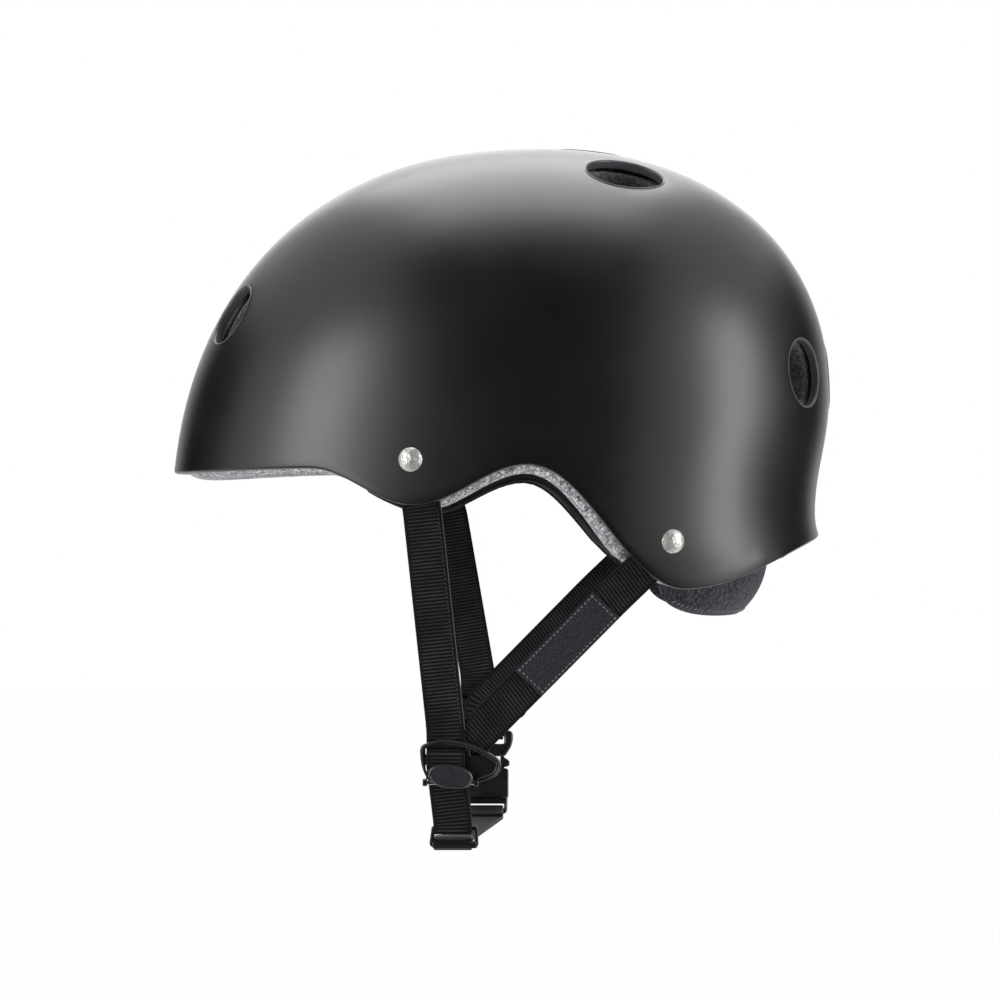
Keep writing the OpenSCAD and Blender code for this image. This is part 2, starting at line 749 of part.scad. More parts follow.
// Rectangular loop: two web bars and two sides
module chin_ring() {
    side = ring_in_w / 2 + ring_bar_d / 2;
    rise = ring_bar_gap / 2;
    color([0.1, 0.1, 0.1])
    on_harness(ring_y, ring_z, ring_n) {
        for (s = [-1, 1]) {
            translate([-side, s * rise, 0])
                rotate([0, 90, 0]) cylinder(d = ring_bar_d, h = 2 * side);
            translate([s * side, -rise, 0])
                rotate([-90, 0, 0]) cylinder(d = ring_bar_d, h = 2 * rise);
            for (c = [-1, 1])
                translate([s * side, c * rise, 0]) sphere(d = ring_bar_d);
        }
    }
}

// Male half of the buckle: web loop, base and centre guide
module buckle_plug() {
    loop_w = plug_loop_w;
    base_low = 5.6;
    loop_top = plug_bar_v + plug_bar_d / 2;
    window_low = plug_bar_v - plug_bar_d / 2 - 3.6;
    guide_w = 3.2;
    color([0.09, 0.09, 0.09])
    right_side() on_harness(buckle_y, buckle_z, buckle_n) {
        difference() {
            translate([0, 0, -plug_t / 2])
                linear_extrude(plug_t)
                    difference() {
                        polygon([
                            [-loop_w / 2 + 2, loop_top], [loop_w / 2 - 2, loop_top],
                            [loop_w / 2, loop_top - 2], [loop_w / 2, window_low],
                            [loop_w / 2 - 3.6, base_low + 0.6], [loop_w / 2 - 3.6, base_low],
                            [-loop_w / 2 + 3.6, base_low], [-loop_w / 2 + 3.6, base_low + 0.6],
                            [-loop_w / 2, window_low], [-loop_w / 2, loop_top - 2]
                        ]);
                        translate([-ring_in_w / 2, window_low])
                            square([ring_in_w, loop_top - window_low + 1]);
                        for (s = [-1, 1])
                            translate([s * prong_pivot[0], prong_pivot[1]])
                                circle(r = knuckle_r + slip);
                        for (s = [-1, 1])
                            translate([s * prong_pivot[0] - knuckle_r - slip, base_low - 1])
                                square([2 * (knuckle_r + slip), prong_pivot[1] - base_low + 1]);
                    }
        }
        translate([-ring_in_w / 2 - 0.5, plug_bar_v, 0])
            rotate([0, 90, 0]) cylinder(d = plug_bar_d, h = ring_in_w + 1);
        translate([-guide_w / 2, -plug_reach + 1.5, -plug_t / 2])
            cube([guide_w, base_low + plug_reach, plug_t]);
    }
}

// Spring prong with a thumb lobe outside the mouth and a barb behind the socket's wall
module prong(s) {
    inner = cavity_w / 2 - slip - prong_w;
    outer = cavity_w / 2 - slip;
    lobe_out = socket_w / 2 + 0.5;
    tip = -plug_reach + 1.6;
    barb_top = -plug_reach / 2;
    color([0.09, 0.09, 0.09])
    right_side() on_harness(buckle_y, buckle_z, buckle_n)
        translate([0, 0, -plug_t / 2])
            linear_extrude(plug_t)
                scale([s, 1])
                    union() {
                        polygon([
                            [inner, prong_pivot[1]], [inner, tip], [inner + 0.8, tip - 0.8],
                            [outer + 0.2, tip - 0.2], [outer + barb_w, barb_top - 0.5],
                            [outer + barb_w, barb_top], [outer, barb_top], [outer, 0.6],
                            [lobe_out, 1.2], [lobe_out, 3.6], [outer - 0.2, 5],
                            [outer - 0.2, prong_pivot[1]]
                        ]);
                        translate(prong_pivot) circle(r = knuckle_r);
                    }
}
module buckle_front_prong() {
    prong(-1);
}
module buckle_rear_prong() {
    prong(1);
}

// Female half: a mouth for the plug, side windows for the barbs and a bar for the chin strap
module buckle_socket() {
    half = socket_w / 2;
    low_half = ring_in_w / 2 + 1.4;
    window = [socket_bar_v + socket_bar_d / 2, socket_bar_v + socket_bar_d / 2 + 3.4];
    side_window = [-plug_reach + 0.4, -plug_reach / 2 + slip];
    color([0.1, 0.1, 0.1])
    right_side() on_harness(buckle_y, buckle_z, buckle_n) {
        difference() {
            union() {
                translate([0, 0, -socket_t / 2])
                    linear_extrude(socket_t)
                        polygon([
                            [-half + 1, 0], [half - 1, 0], [half, -1], [half, -7], [half - 0.2, -plug_reach - 1],
                            [-half + 0.2, -plug_reach - 1], [-half, -7], [-half, -1]
                        ]);
                translate([0, 0, -socket_bar_d / 2])
                    linear_extrude(socket_bar_d)
                        difference() {
                            polygon([
                                [-half + 0.2, -plug_reach], [half - 0.2, -plug_reach],
                                [low_half, -socket_len + 2], [low_half - 2, -socket_len],
                                [-low_half + 2, -socket_len], [-low_half, -socket_len + 2]
                            ]);
                            translate([-ring_in_w / 2, socket_bar_v - socket_bar_d])
                                square([ring_in_w, window[1] - socket_bar_v + socket_bar_d]);
                        }
                translate([-ring_in_w / 2 - 0.5, socket_bar_v, 0])
                    rotate([0, 90, 0]) cylinder(d = socket_bar_d, h = ring_in_w + 1);
            }
            translate([-cavity_w / 2, -plug_reach + 0.2, -cavity_t / 2])
                cube([cavity_w, plug_reach + 5, cavity_t]);
            for (s = [-1, 1])
                translate([s * half - 3, side_window[0], -cavity_t / 2])
                    cube([6, side_window[1] - side_window[0], cavity_t]);
        }
    }
}

// Chin strap: folded round the ring's lower bar, across under the chin,
// and folded round the socket's bar
ring_end = on_plane(ring_y, ring_z - ring_bar_gap / 2, ring_n);
socket_end_left = on_plane(buckle_y, buckle_z + socket_bar_v, buckle_n);
socket_end = [-socket_end_left[0], buckle_y, socket_end_left[2]];
chin_middle = (ring_end + socket_end) / 2;
function chin_fold(bar, toward, radius) =
    let (
        dir = unit([toward[0] - bar[0], 0, toward[2] - bar[2]]),
        up = [-dir[2], 0, dir[0]] * sign(dir[0]),
        lap = bar + dir * chin_lap,
        level = [0, 1, 0],
        low = up * chin_layer / 2
    )
    [
        [lap + low, level],
        [bar + dir * 2.5 * radius + up * radius, level],
        [bar - dir * radius + up * radius, level],
        [bar - dir * radius - up * radius, level],
        [bar + dir * 2.5 * radius - up * radius, level],
        [lap - low, level],
        [chin_middle - low - unit(chin_middle - lap) * chin_split / 2, level]
    ];
function fold_radii(radius) = [0, 2, radius, radius, 2, 2, 0];
module chin_strap() {
    path = rounded(chin_fold(ring_end, socket_end, bar_wrap), fold_radii(bar_wrap), 5);
    color([0.07, 0.07, 0.08]) ribbon(path, web_w, web_t);
}
module chin_strap_end() {
    path = rounded(chin_fold(socket_end, ring_end, socket_wrap), fold_radii(socket_wrap), 5);
    color([0.07, 0.07, 0.08]) ribbon(path, web_w, web_t);
}

outer_shell();
foam_liner();
brow_pad();
crown_pad();
left_side_pad();
right_side_pad();
rear_pad();
nape_pad();
pad_fasteners();
strap_rivets();
rivet_washers();
left_webbing();
right_webbing();
strap_label();
left_divider_frame();
left_divider_lever();
left_lever_pin();
right_divider_frame();
right_divider_lever();
right_lever_pin();
chin_ring();
chin_strap();
chin_strap_end();
buckle_plug();
buckle_front_prong();
buckle_rear_prong();
buckle_socket();
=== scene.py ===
"""The looks of an open-ear water helmet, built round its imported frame.

The helmet faces -Y, +Z is up and +X is the wearer's left. Sizes are in millimetres up to the
point where a mesh is made, and the meshes are in metres.
"""
import math

import bmesh
import bpy
import numpy as np
from mathutils import Matrix, Vector
from mathutils.geometry import delaunay_2d_cdt


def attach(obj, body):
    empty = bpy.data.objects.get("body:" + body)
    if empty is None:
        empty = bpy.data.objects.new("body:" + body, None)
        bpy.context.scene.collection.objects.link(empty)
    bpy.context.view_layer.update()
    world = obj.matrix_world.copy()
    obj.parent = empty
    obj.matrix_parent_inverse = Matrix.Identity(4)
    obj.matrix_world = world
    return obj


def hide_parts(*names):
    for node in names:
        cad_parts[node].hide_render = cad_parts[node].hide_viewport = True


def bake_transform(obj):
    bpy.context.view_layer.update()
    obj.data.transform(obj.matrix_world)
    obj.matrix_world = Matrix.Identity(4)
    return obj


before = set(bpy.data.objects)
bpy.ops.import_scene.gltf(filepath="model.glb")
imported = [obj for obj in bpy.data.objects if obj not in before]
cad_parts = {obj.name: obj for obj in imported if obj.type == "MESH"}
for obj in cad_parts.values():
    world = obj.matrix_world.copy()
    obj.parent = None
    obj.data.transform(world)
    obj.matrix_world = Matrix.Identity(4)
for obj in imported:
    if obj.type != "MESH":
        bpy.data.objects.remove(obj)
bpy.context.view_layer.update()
MM = 0.001

# Shell
HALF_LEN = 143.5
HALF_WID = 112.5
CROWN_H = 141.4
WIDEST_Y = 17.5
NECK_TUCK = 6.2
NECK_DROP = 50
WAIST_IN = 5
WAIST_DROP = 58
TAIL_FLARE = 2.3
TAIL_FLARE_Z = -17
PLAN_ROUND = 2.1
FRONT_ROUND = 2.3
REAR_ROUND = 2.2
SIDE_ROUND = 2.25
FRONT_LOW = 30
REAR_LOW = 33
SIDE_LOW = 10
SHELL_WALL = 3.5
SHELL_LIP = 0.6          # radius of the lip round a vent
SHELL_RIM = 1.2          # how far the lower edge is rounded
EDGE_LINE = [(-1, 0), (-0.55, 1.5), (-0.247, -13.8), (0.08, 2.8), (0.53, -48.3), (1.1, -24.5)]

# Liner and pads
LINER_OUT = 5.7
LINER_IN = 21.7
LINER_RIM = 3.0
LINER_LIP = 1.6
LINER_DROP = [
    (-1, 1.3), (-0.5, 1.3), (-0.32, 0), (-0.15, 3.6), (0.05, 3.6), (0.3, 7.5), (0.5, 1), (1.1, -4),
]
PAD_OUT = 23.3
PAD_T = 8
NAPE_T = 11
NAPE_H = 34
NAPE_TOP = -27
NAPE_DEPTH = LINER_IN + 2.6
NAPE_FOLLOW = -34
NAPE_LEAN = 10
NAPE_HALF = math.radians(58)

# Vents: side, share of the half length, share of the crown's height, diameter, and how oval they are
VENTS = [
    (1, -0.80, 0.48, 27, 1), (-1, -0.80, 0.48, 27, 1), (1, 0.37, 0.90, 34, 0.8),
    (-1, 0.37, 0.90, 34, 0.8), (0, 0.27, 1, 28, 1), (1, 0.90, 0.30, 28, 1), (-1, 0.90, 0.30, 28, 1),
    (0, 0.96, 0.30, 28, 1),
]

# Rivets and webbing
RIVET_FRONT = (-0.254, 5.1)
RIVET_REAR = (0.493, -28.3)
RIVET_D = 10.5
RIVET_H = 2.4
WEB_W = 16
WEB_T = 1.4
WEB_LAY = 0.25
WEB_SLIP = 0.35
WEB_TAIL = 9
TAIL_SINK = 0.5
RIB_PITCH = 1.5
RIB_DEPTH = 0.2
LABEL_LEN = 46
LABEL_START = 33
LABEL_T = 0.6

# Harness plane, dividers, ring and buckle
LEAN = math.radians(7.4)
PLANE_X = 101
LEFT_DIVIDER = (-16.2, -119)
RIGHT_DIVIDER = (-4, -105.5)
DIVIDER_H = 21
DIVIDER_T = 2
SLOT_SHIFT = -6.2
LEVER_SHIFT = SLOT_SHIFT + 2
SLOT_TOP = (2.3, 5.5)
SLOT_LOW = (-4.6, -1.4)
WEB_FRONT_N = DIVIDER_T / 2 + WEB_SLIP + WEB_T / 2
LEVER_LEN = 18.8
LEVER_H = 9.9
LEVER_T = 2.4
LEVER_TILT = math.radians(9)
LEVER_N = 3.05
LEVER_PIN_Z = -8.6
LEVER_PIN_N = 3.4
PIN_D = 1.8
RING_Y = -19.6
RING_Z = -151.4
RING_GAP = 6.6
RING_BAR_D = 1.8
BUCKLE_Y = -6.5
BUCKLE_Z = -135.7
SOCKET_W = 20.8
SOCKET_LEN = 21
PLUG_REACH = 12.5
PLUG_BAR_V = 16.2
BUCKLE_BAR_D = 2.6
PLUG_T = 4.2
CHIN_LAP = 24


# ---------------------------------------------------------------- the dome's surface

def superround(t, n):
    return np.maximum(0, 1 - np.maximum(0, t) ** n) ** (1 / n)


def signed_pow(v, e):
    return np.sign(v) * np.abs(v) ** e


def half_width(z):
    upper = HALF_WID * superround((z - SIDE_LOW) / (CROWN_H - SIDE_LOW), SIDE_ROUND)
    lower = HALF_WID - WAIST_IN * (np.maximum(0, SIDE_LOW - z) / WAIST_DROP) ** 2
    return np.where(z >= SIDE_LOW, upper, lower)


def reach(z, front):
    ahead = (HALF_LEN + WIDEST_Y) * superround((z + FRONT_LOW) / (CROWN_H + FRONT_LOW), FRONT_ROUND)
    most = HALF_LEN - WIDEST_Y
    upper = most * superround((z - REAR_LOW) / (CROWN_H - REAR_LOW), REAR_ROUND)
    tuck = NECK_TUCK * (1 - np.cos(math.pi * np.clip((REAR_LOW - z) / NECK_DROP, 0, 1))) / 2
    tail = TAIL_FLARE * np.clip((TAIL_FLARE_Z - z) / 11.5, 0, 1.5) ** 2
    behind = np.where(z >= REAR_LOW, upper, most - tuck + tail)
    return np.where(front, ahead, behind)


def skin(angle, z):
    """Points of the outer skin at plan angles (0 is the back, a quarter turn the left) and heights"""
    sin, cos = np.sin(angle), np.cos(angle)
    x = half_width(z) * signed_pow(sin, 2 / PLAN_ROUND)
    y = WIDEST_Y + reach(z, cos < 0) * signed_pow(cos, 2 / PLAN_ROUND)
    return np.stack([x, y, z + 0 * x], axis=-1)


def skin_normal(p):
    x, y, z = p[..., 0], p[..., 1], np.minimum(p[..., 2], CROWN_H - 0.02)
    e = 0.01
    front = y < WIDEST_Y
    b, a = half_width(z), reach(z, front)
    db = (half_width(z + e) - half_width(z - e)) / (2 * e)
    da = (reach(z + e, front) - reach(z - e, front)) / (2 * e)
    u, v = np.abs(x) / b, np.abs(y - WIDEST_Y) / a
    n = np.stack([
        np.sign(x) * u ** (PLAN_ROUND - 1) / b,
        np.sign(y - WIDEST_Y) * v ** (PLAN_ROUND - 1) / a,
        -u ** PLAN_ROUND * db / b - v ** PLAN_ROUND * da / a,
    ], axis=-1)
    return n / np.linalg.norm(n, axis=-1, keepdims=True)


def skin_in(angle, z, depth):
    p = skin(angle, z)
    return p - np.asarray(depth)[..., None] * skin_normal(p)


def is_inside(p):
    width = np.maximum(half_width(p[:, 2]), 1e-6)
    length = np.maximum(reach(p[:, 2], p[:, 1] < WIDEST_Y), 1e-6)
    u, v = np.abs(p[:, 0]) / width, np.abs(p[:, 1] - WIDEST_Y) / length
    return (p[:, 2] < CROWN_H) & (u ** PLAN_ROUND + v ** PLAN_ROUND < 1)


def leave_skin(base, axis, low=-45.0, high=15.0):
    """Where lines from base along axis leave the dome, found by halving"""
    low, high = np.full(len(base), low), np.full(len(base), high)
    for _ in range(40):
        middle = (low + high) / 2
        inside = is_inside(base + middle[:, None] * axis)
        low = np.where(inside, middle, low)
        high = np.where(inside, high, middle)
    return base + low[:, None] * axis


def eased(points, y):
    """Height on a line of (share of the half length, height) points, eased between them"""
    shares = np.array([p[0] for p in points], float)
    heights = np.array([p[1] for p in points], float)
    s = np.clip(np.asarray(y) / HALF_LEN, shares[0], shares[-1])
    i = np.clip(np.searchsorted(shares, s, side="right") - 1, 0, len(points) - 2)
    t = (s - shares[i]) / (shares[i + 1] - shares[i])
    return heights[i] + (heights[i + 1] - heights[i]) * (1 - np.cos(math.pi * t)) / 2


def shell_edge(angles):
    z = np.zeros_like(angles)
    for _ in range(14):
        z = eased(EDGE_LINE, skin(angles, z)[:, 1])
    return z


def liner_edge(angles, depth):
    z = np.zeros_like(angles)
    for _ in range(14):
        y = skin_in(angles, z, depth)[:, 1]
        z = eased(EDGE_LINE, y) - eased(LINER_DROP, y)
    return z


def skin_beside(share, z):
    """Point of the left skin at a share of the half length and a height"""
    y = share * HALF_LEN
    v = abs(y - WIDEST_Y) / reach(z, y < WIDEST_Y)
    return np.array([float(half_width(z) * superround(v, PLAN_ROUND)), y, z])


def vent_axis(vent):
    """Middle of a vent on the skin, and its outward direction"""
    side, share, rise = vent[:3]
    if side == 0 and rise == 1:
        point = leave_skin(np.array([[0, share * HALF_LEN, 60.0]]), np.array([0, 0, 1.0]), 0, 90)[0]
    elif side == 0:
        point = skin(np.array(0.0), np.array(rise * CROWN_H))
    else:
        point = skin_beside(share, rise * CROWN_H) * [side, 1, 1]
    return point, skin_normal(point)


# ---------------------------------------------------------------- making meshes

class Form:
    """Points in millimetres with the faces between them"""

    def __init__(self):
        self.points = []
        self.faces = []
        self.ducts = []

    def add(self, points):
        start = len(self.points)
        self.points.extend(np.asarray(points, float).reshape(-1, 3))
        return list(range(start, len(self.points)))

    def strip(self, rings, closed=True, flip=False):
        """Quads between rings of point numbers"""
        for a, b in zip(rings, rings[1:]):
            count = len(a) if closed else len(a) - 1
            for i in range(count):
                j = (i + 1) % len(a)
                face = (a[i], a[j], b[j], b[i])
                self.faces.append(face[::-1] if flip else face)

    def fan(self, ring, middle, flip=False):
        """Triangles from a ring to one more point"""
        tip = self.add([middle])[0]
        for i in range(len(ring)):
            face = (ring[i], ring[(i + 1) % len(ring)], tip)
            self.faces.append(face[::-1] if flip else face)

    def capped(self, rings):
        """A closed bar through the rings"""
        self.strip(rings)
        self.faces += [tuple(rings[0][::-1]), tuple(rings[-1])]

    def piece(self, name):
        return tidy_mesh(mesh_object(name, self.points, self.faces))


def mesh_object(name, points, faces, smooth=True):
    mesh = bpy.data.meshes.new(name)
    mesh.from_pydata([tuple(float(c) * MM for c in p) for p in points], [], faces)
    mesh.validate()
    mesh.polygons.foreach_set("use_smooth", [smooth] * len(mesh.polygons))
    return shown(name, mesh)


def tidy_mesh(piece, merge=1e-7):
    """Merges points nearer than this many metres, and turns every face outwards"""
    bm = bmesh.new()
    bm.from_mesh(piece.data)
    if merge:
        bmesh.ops.remove_doubles(bm, verts=bm.verts, dist=merge)
    bmesh.ops.recalc_face_normals(bm, faces=bm.faces)
    bm.to_mesh(piece.data)
    bm.free()
    return piece


def shown(name, data):
    """A new object in the scene"""
    piece = bpy.data.objects.new(name, data)
    bpy.context.scene.collection.objects.link(piece)
    return piece


def frozen(piece):
    """A plain mesh object of the same name, with the piece's modifiers applied"""
    bpy.context.view_layer.update()
    graph = bpy.context.evaluated_depsgraph_get()
    mesh = bpy.data.meshes.new_from_object(piece.evaluated_get(graph))
    name = piece.name
    bpy.data.objects.remove(piece)
    return shown(name, mesh)


def joined(name, pieces):
    """One object from several, with their meshes side by side"""
    bm = bmesh.new()
    for piece in pieces:
        bm.from_mesh(piece.data)
        bpy.data.objects.remove(piece)
    mesh = bpy.data.meshes.new(name)
    bm.to_mesh(mesh)
    bm.free()
    return shown(name, mesh)


def smoothed(piece, degrees=None):
    """Smooth faces, with the edges sharper than this left crisp"""
    piece.data.polygons.foreach_set("use_smooth", [True] * len(piece.data.polygons))
    if degrees:
        piece.data.set_sharp_from_angle(angle=math.radians(degrees))
    return piece


def settle(piece, body, slot, material, *nodes):
    """Gives a finished piece its material and its body, and hides the CAD nodes it stands for; the slot is not
    used
    """
    piece.data.materials.clear()
    piece.data.materials.append(material)
    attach(piece, body)
    if nodes:
        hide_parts(*nodes)
    return piece


# ---------------------------------------------------------------- materials

NOISE, MIX, RANGE = "ShaderNodeTexNoise", "ShaderNodeMix", "ShaderNodeMapRange"
MATHS, BUMP, FIELD = "ShaderNodeMath", "ShaderNodeBump", "ShaderNodeAttribute"
CELLS, MAPPING = "ShaderNodeTexVoronoi", "ShaderNodeMapping"


def linear(code):
    """sRGB hex colour as linear RGBA"""
    parts = [int(code[i:i + 2], 16) / 255 for i in (1, 3, 5)]
    return tuple(c / 12.92 if c <= 0.04045 else ((c + 0.055) / 1.055) ** 2.4 for c in parts) + (1.0,)


def add_node(tree, kind, inputs=None, out=0, **settings):
    """Adds a node with its settings. Inputs are values, hex colours or sockets. Gives one output"""
    node = tree.nodes.new(kind)
    for name, value in settings.items():
        setattr(node, name, value)
    for key, value in (inputs or {}).items():
        if isinstance(value, bpy.types.NodeSocket):
            tree.links.new(value, node.inputs[key])
        else:
            node.inputs[key].default_value = linear(value) if str(value).startswith("#") else value
    return node.outputs[out] if len(node.outputs) else None


def emptied(owner):
    """The bare node tree of a material or a world"""
    owner.use_nodes = True
    owner.node_tree.nodes.clear()
    return owner.node_tree


def new_material(name, pattern, *shades, uv=None):
    """A material with a Principled shader, whose inputs its pattern works out"""
    material = bpy.data.materials.new(name)
    tree = emptied(material)
    if uv:
        place = add_node(tree, "ShaderNodeUVMap", uv_map=uv)
    else:
        place = add_node(tree, "ShaderNodeTexCoord", out="Object")
    shader = add_node(tree, "ShaderNodeBsdfPrincipled", pattern(tree, place, *shades))
    add_node(tree, "ShaderNodeOutputMaterial", {"Surface": shader})
    return material


def per(size_mm):
    """Scale of a pattern whose features are of this size"""
    return 1 / (size_mm * MM)


def moulded_shell(tree, place):
    """Injection-moulded ABS with a fine satin grain: near black, with soft wide highlights, and a painted
    highlight in grey on the vent walls and beads
    """
    grain = add_node(tree, NOISE, {"Vector": place, "Scale": per(0.5), "Detail": 3})
    cloud = add_node(tree, NOISE, {"Vector": place, "Scale": per(38), "Detail": 3})
    share = add_node(tree, RANGE, {0: cloud, 1: 0.35, 2: 0.65})
    face = add_node(tree, MIX, {0: share, 6: "#0b0b0c", 7: "#101012"}, 2, data_type="RGBA")
    # Painted highlight: the vent walls and the beads round them turn a lighter grey, standing in for the light
    # on the vents' lips
    duct = add_node(tree, FIELD, out="Fac", attribute_name="duct")
    return {
        "IOR": 1.53,
        "Base Color": add_node(tree, MIX, {0: duct, 6: face, 7: "#47474b"}, 2, data_type="RGBA"),
        "Roughness": add_node(tree, RANGE, {0: cloud, 1: 0.3, 2: 0.7, 3: 0.33, 4: 0.37}),
        "Normal": add_node(tree, BUMP, {"Height": grain, "Distance": 0.012 * MM}),
    }


def bead_foam(tree, place):
    """Expanded polystyrene: fused pale beads with dark pores, with painted shade inside the vents"""
    bead = {"Vector": place, "Scale": per(2.1)}
    cells = add_node(tree, CELLS, bead, "Distance", feature="DISTANCE_TO_EDGE")
    each = add_node(tree, CELLS, bead, "Color")
    shade = add_node(tree, "ShaderNodeSeparateColor", {0: each})
    pore = add_node(tree, RANGE, {0: cells, 1: 0.0, 2: 0.16})
    colour = add_node(tree, MIX, {0: shade, 6: "#a3a4a7", 7: "#d3d4d6"}, 2, data_type="RGBA")
    colour = add_node(tree, MIX, {0: pore, 6: "#77787c", 7: colour}, 2, data_type="RGBA")
    blotch = add_node(tree, NOISE, {"Vector": place, "Scale": per(2.4), "Detail": 4, "Roughness": 0.65})
    stain = add_node(tree, RANGE, {0: blotch, 1: 0.47, 2: 0.62, 4: 0.75})
    colour = add_node(tree, MIX, {0: stain, 6: colour, 7: "#4c4d52"}, 2, data_type="RGBA")
    dots = add_node(tree, NOISE, {"Vector": place, "Scale": per(0.9), "Detail": 1})
    speck = add_node(tree, RANGE, {0: dots, 1: 0.62, 2: 0.68})
    colour = add_node(tree, MIX, {0: speck, 6: colour, 7: "#2c2d31"}, 2, data_type="RGBA")
    duct = add_node(tree, FIELD, out="Fac", attribute_name="duct")
    # Painted shade: the vent walls darken towards a near black grey, standing in for the shade the shell casts
    # into them
    painted_vent_shade = add_node(tree, MATHS, {0: duct, 1: 0.8}, operation="MULTIPLY")
    return {
        "Roughness": 0.75, "IOR": 1.4,
        "Base Color": add_node(tree, MIX, {0: painted_vent_shade, 6: colour, 7: "#2e2f33"}, 2, data_type="RGBA"),
        "Normal": add_node(tree, BUMP, {"Height": pore, "Distance": 0.18 * MM, "Strength": 0.7}),
    }


def pad_cloth(tree, place):
    """Brushed knitted cover: matt black with a soft nap that lifts at grazing angles"""
    nap = add_node(tree, NOISE, {"Vector": place, "Scale": per(0.6), "Detail": 4, "Roughness": 0.7})
    patch = add_node(tree, NOISE, {"Vector": place, "Scale": per(9), "Detail": 3})
    nap_lit = add_node(tree, RANGE, {0: nap, 1: 0.35, 2: 0.65})
    patch_lit = add_node(tree, RANGE, {0: patch, 1: 0.2, 2: 0.8})
    share = add_node(tree, MATHS, {0: nap_lit, 1: patch_lit}, operation="MULTIPLY")
    return {
        "Roughness": 0.95, "Sheen Weight": 0.1, "Sheen Roughness": 0.5, "Specular IOR Level": 0.2,
        "Base Color": add_node(tree, MIX, {0: share, 6: "#141416", 7: "#222225"}, 2, data_type="RGBA"),
        "Normal": add_node(tree, BUMP, {"Height": nap, "Distance": 0.18 * MM}),
    }


def nape_cloth(tree, place):
    """Heathered brushed fabric: flecks of grey yarn in a dark ground"""
    upright = add_node(tree, MAPPING, {"Vector": place, "Scale": (1, 1, 0.45)})
    yarn = add_node(tree, NOISE, {"Vector": upright, "Scale": per(1.1), "Detail": 4, "Roughness": 0.8})
    tuft = add_node(tree, NOISE, {"Vector": place, "Scale": per(2.6), "Detail": 3, "Roughness": 0.6})
    fleck = add_node(tree, RANGE, {0: yarn, 1: 0.45, 2: 0.66})
    extra = add_node(tree, RANGE, {0: tuft, 1: 0.45, 2: 0.75, 4: 0.3})
    share = add_node(tree, MATHS, {0: fleck, 1: extra}, operation="ADD")
    return {
        "Roughness": 0.95, "Sheen Weight": 0.12, "Sheen Roughness": 0.45, "Specular IOR Level": 0.2,
        "Base Color": add_node(tree, MIX, {0: share, 6: "#09090b", 7: "#4a4a55"}, 2, data_type="RGBA"),
        "Normal": add_node(tree, BUMP, {"Height": yarn, "Distance": 0.35 * MM}),
    }


def ribbed_web(tree, place):
    """Woven polyester webbing: the rib crests get a painted highlight, the furrows stay black"""
    crest = add_node(tree, FIELD, out="Fac", attribute_name="crest")
    tracer = add_node(tree, FIELD, out="Fac", attribute_name="tracer")
    across = add_node(tree, MAPPING, {"Vector": place, "Scale": (2.5, 1, 1)})
    yarn = add_node(tree, NOISE, {"Vector": across, "Scale": per(0.55), "Detail": 3, "Roughness": 0.7})
    # Painted highlight on the rib crests, made patchy by the yarn and by broad patches of stronger and weaker
    # light
    highlight_patch = add_node(tree, NOISE, {"Vector": place, "Scale": per(14)})
    lit = add_node(tree, MATHS, {0: crest, 1: 2.5}, operation="POWER")
    yarn_lit = add_node(tree, RANGE, {0: yarn, 1: 0.2, 2: 0.8, 3: 0.45})
    lit = add_node(tree, MATHS, {0: lit, 1: yarn_lit}, operation="MULTIPLY")
    highlight_patch_share = add_node(tree, RANGE, {0: highlight_patch, 1: 0.3, 2: 0.7, 3: 0.35})
    lit = add_node(tree, MATHS, {0: lit, 1: highlight_patch_share}, operation="MULTIPLY")
    ground = add_node(tree, MIX, {0: lit, 6: "#060607", 7: "#44444a"}, 2, data_type="RGBA")
    # The marked rear edge of the strap is painted light grey: a painted highlight along it
    return {
        "Roughness": 0.62, "Sheen Weight": 0.02, "Specular IOR Level": 0.15,
        "Base Color": add_node(tree, MIX, {0: tracer, 6: ground, 7: "#55555a"}, 2, data_type="RGBA"),
        "Normal": add_node(tree, BUMP, {"Height": yarn, "Distance": 0.07 * MM}),
    }


def woven_label(tree, place):
    """Damask label: heathered dark grey, with fine yarns across"""
    fine = add_node(tree, MAPPING, {"Vector": place, "Scale": (0.5, 2.2, 1)})
    yarn = add_node(tree, NOISE, {"Vector": fine, "Scale": per(0.7), "Detail": 4, "Roughness": 0.8})
    share = add_node(tree, RANGE, {0: yarn, 1: 0.4, 2: 0.66})
    return {
        "Roughness": 0.85, "Specular IOR Level": 0.2,
        "Base Color": add_node(tree, MIX, {0: share, 6: "#0e0e11", 7: "#3c3c42"}, 2, data_type="RGBA"),
        "Normal": add_node(tree, BUMP, {"Height": yarn, "Distance": 0.12 * MM}),
    }


def moulded_hardware(tree, place, dark, light):
    """Moulded acetal: slightly waxy, with a fine spark-eroded texture"""
    grain = add_node(tree, NOISE, {"Vector": place, "Scale": per(0.3), "Detail": 3})
    cloud = add_node(tree, NOISE, {"Vector": place, "Scale": per(6)})
    return {
        "Specular IOR Level": 0.75,
        "Base Color": add_node(tree, MIX, {0: cloud, 6: dark, 7: light}, 2, data_type="RGBA"),
        "Roughness": add_node(tree, RANGE, {0: cloud, 1: 0.3, 2: 0.7, 3: 0.27, 4: 0.36}),
        "Normal": add_node(tree, BUMP, {"Height": grain, "Distance": 0.012 * MM}),
    }


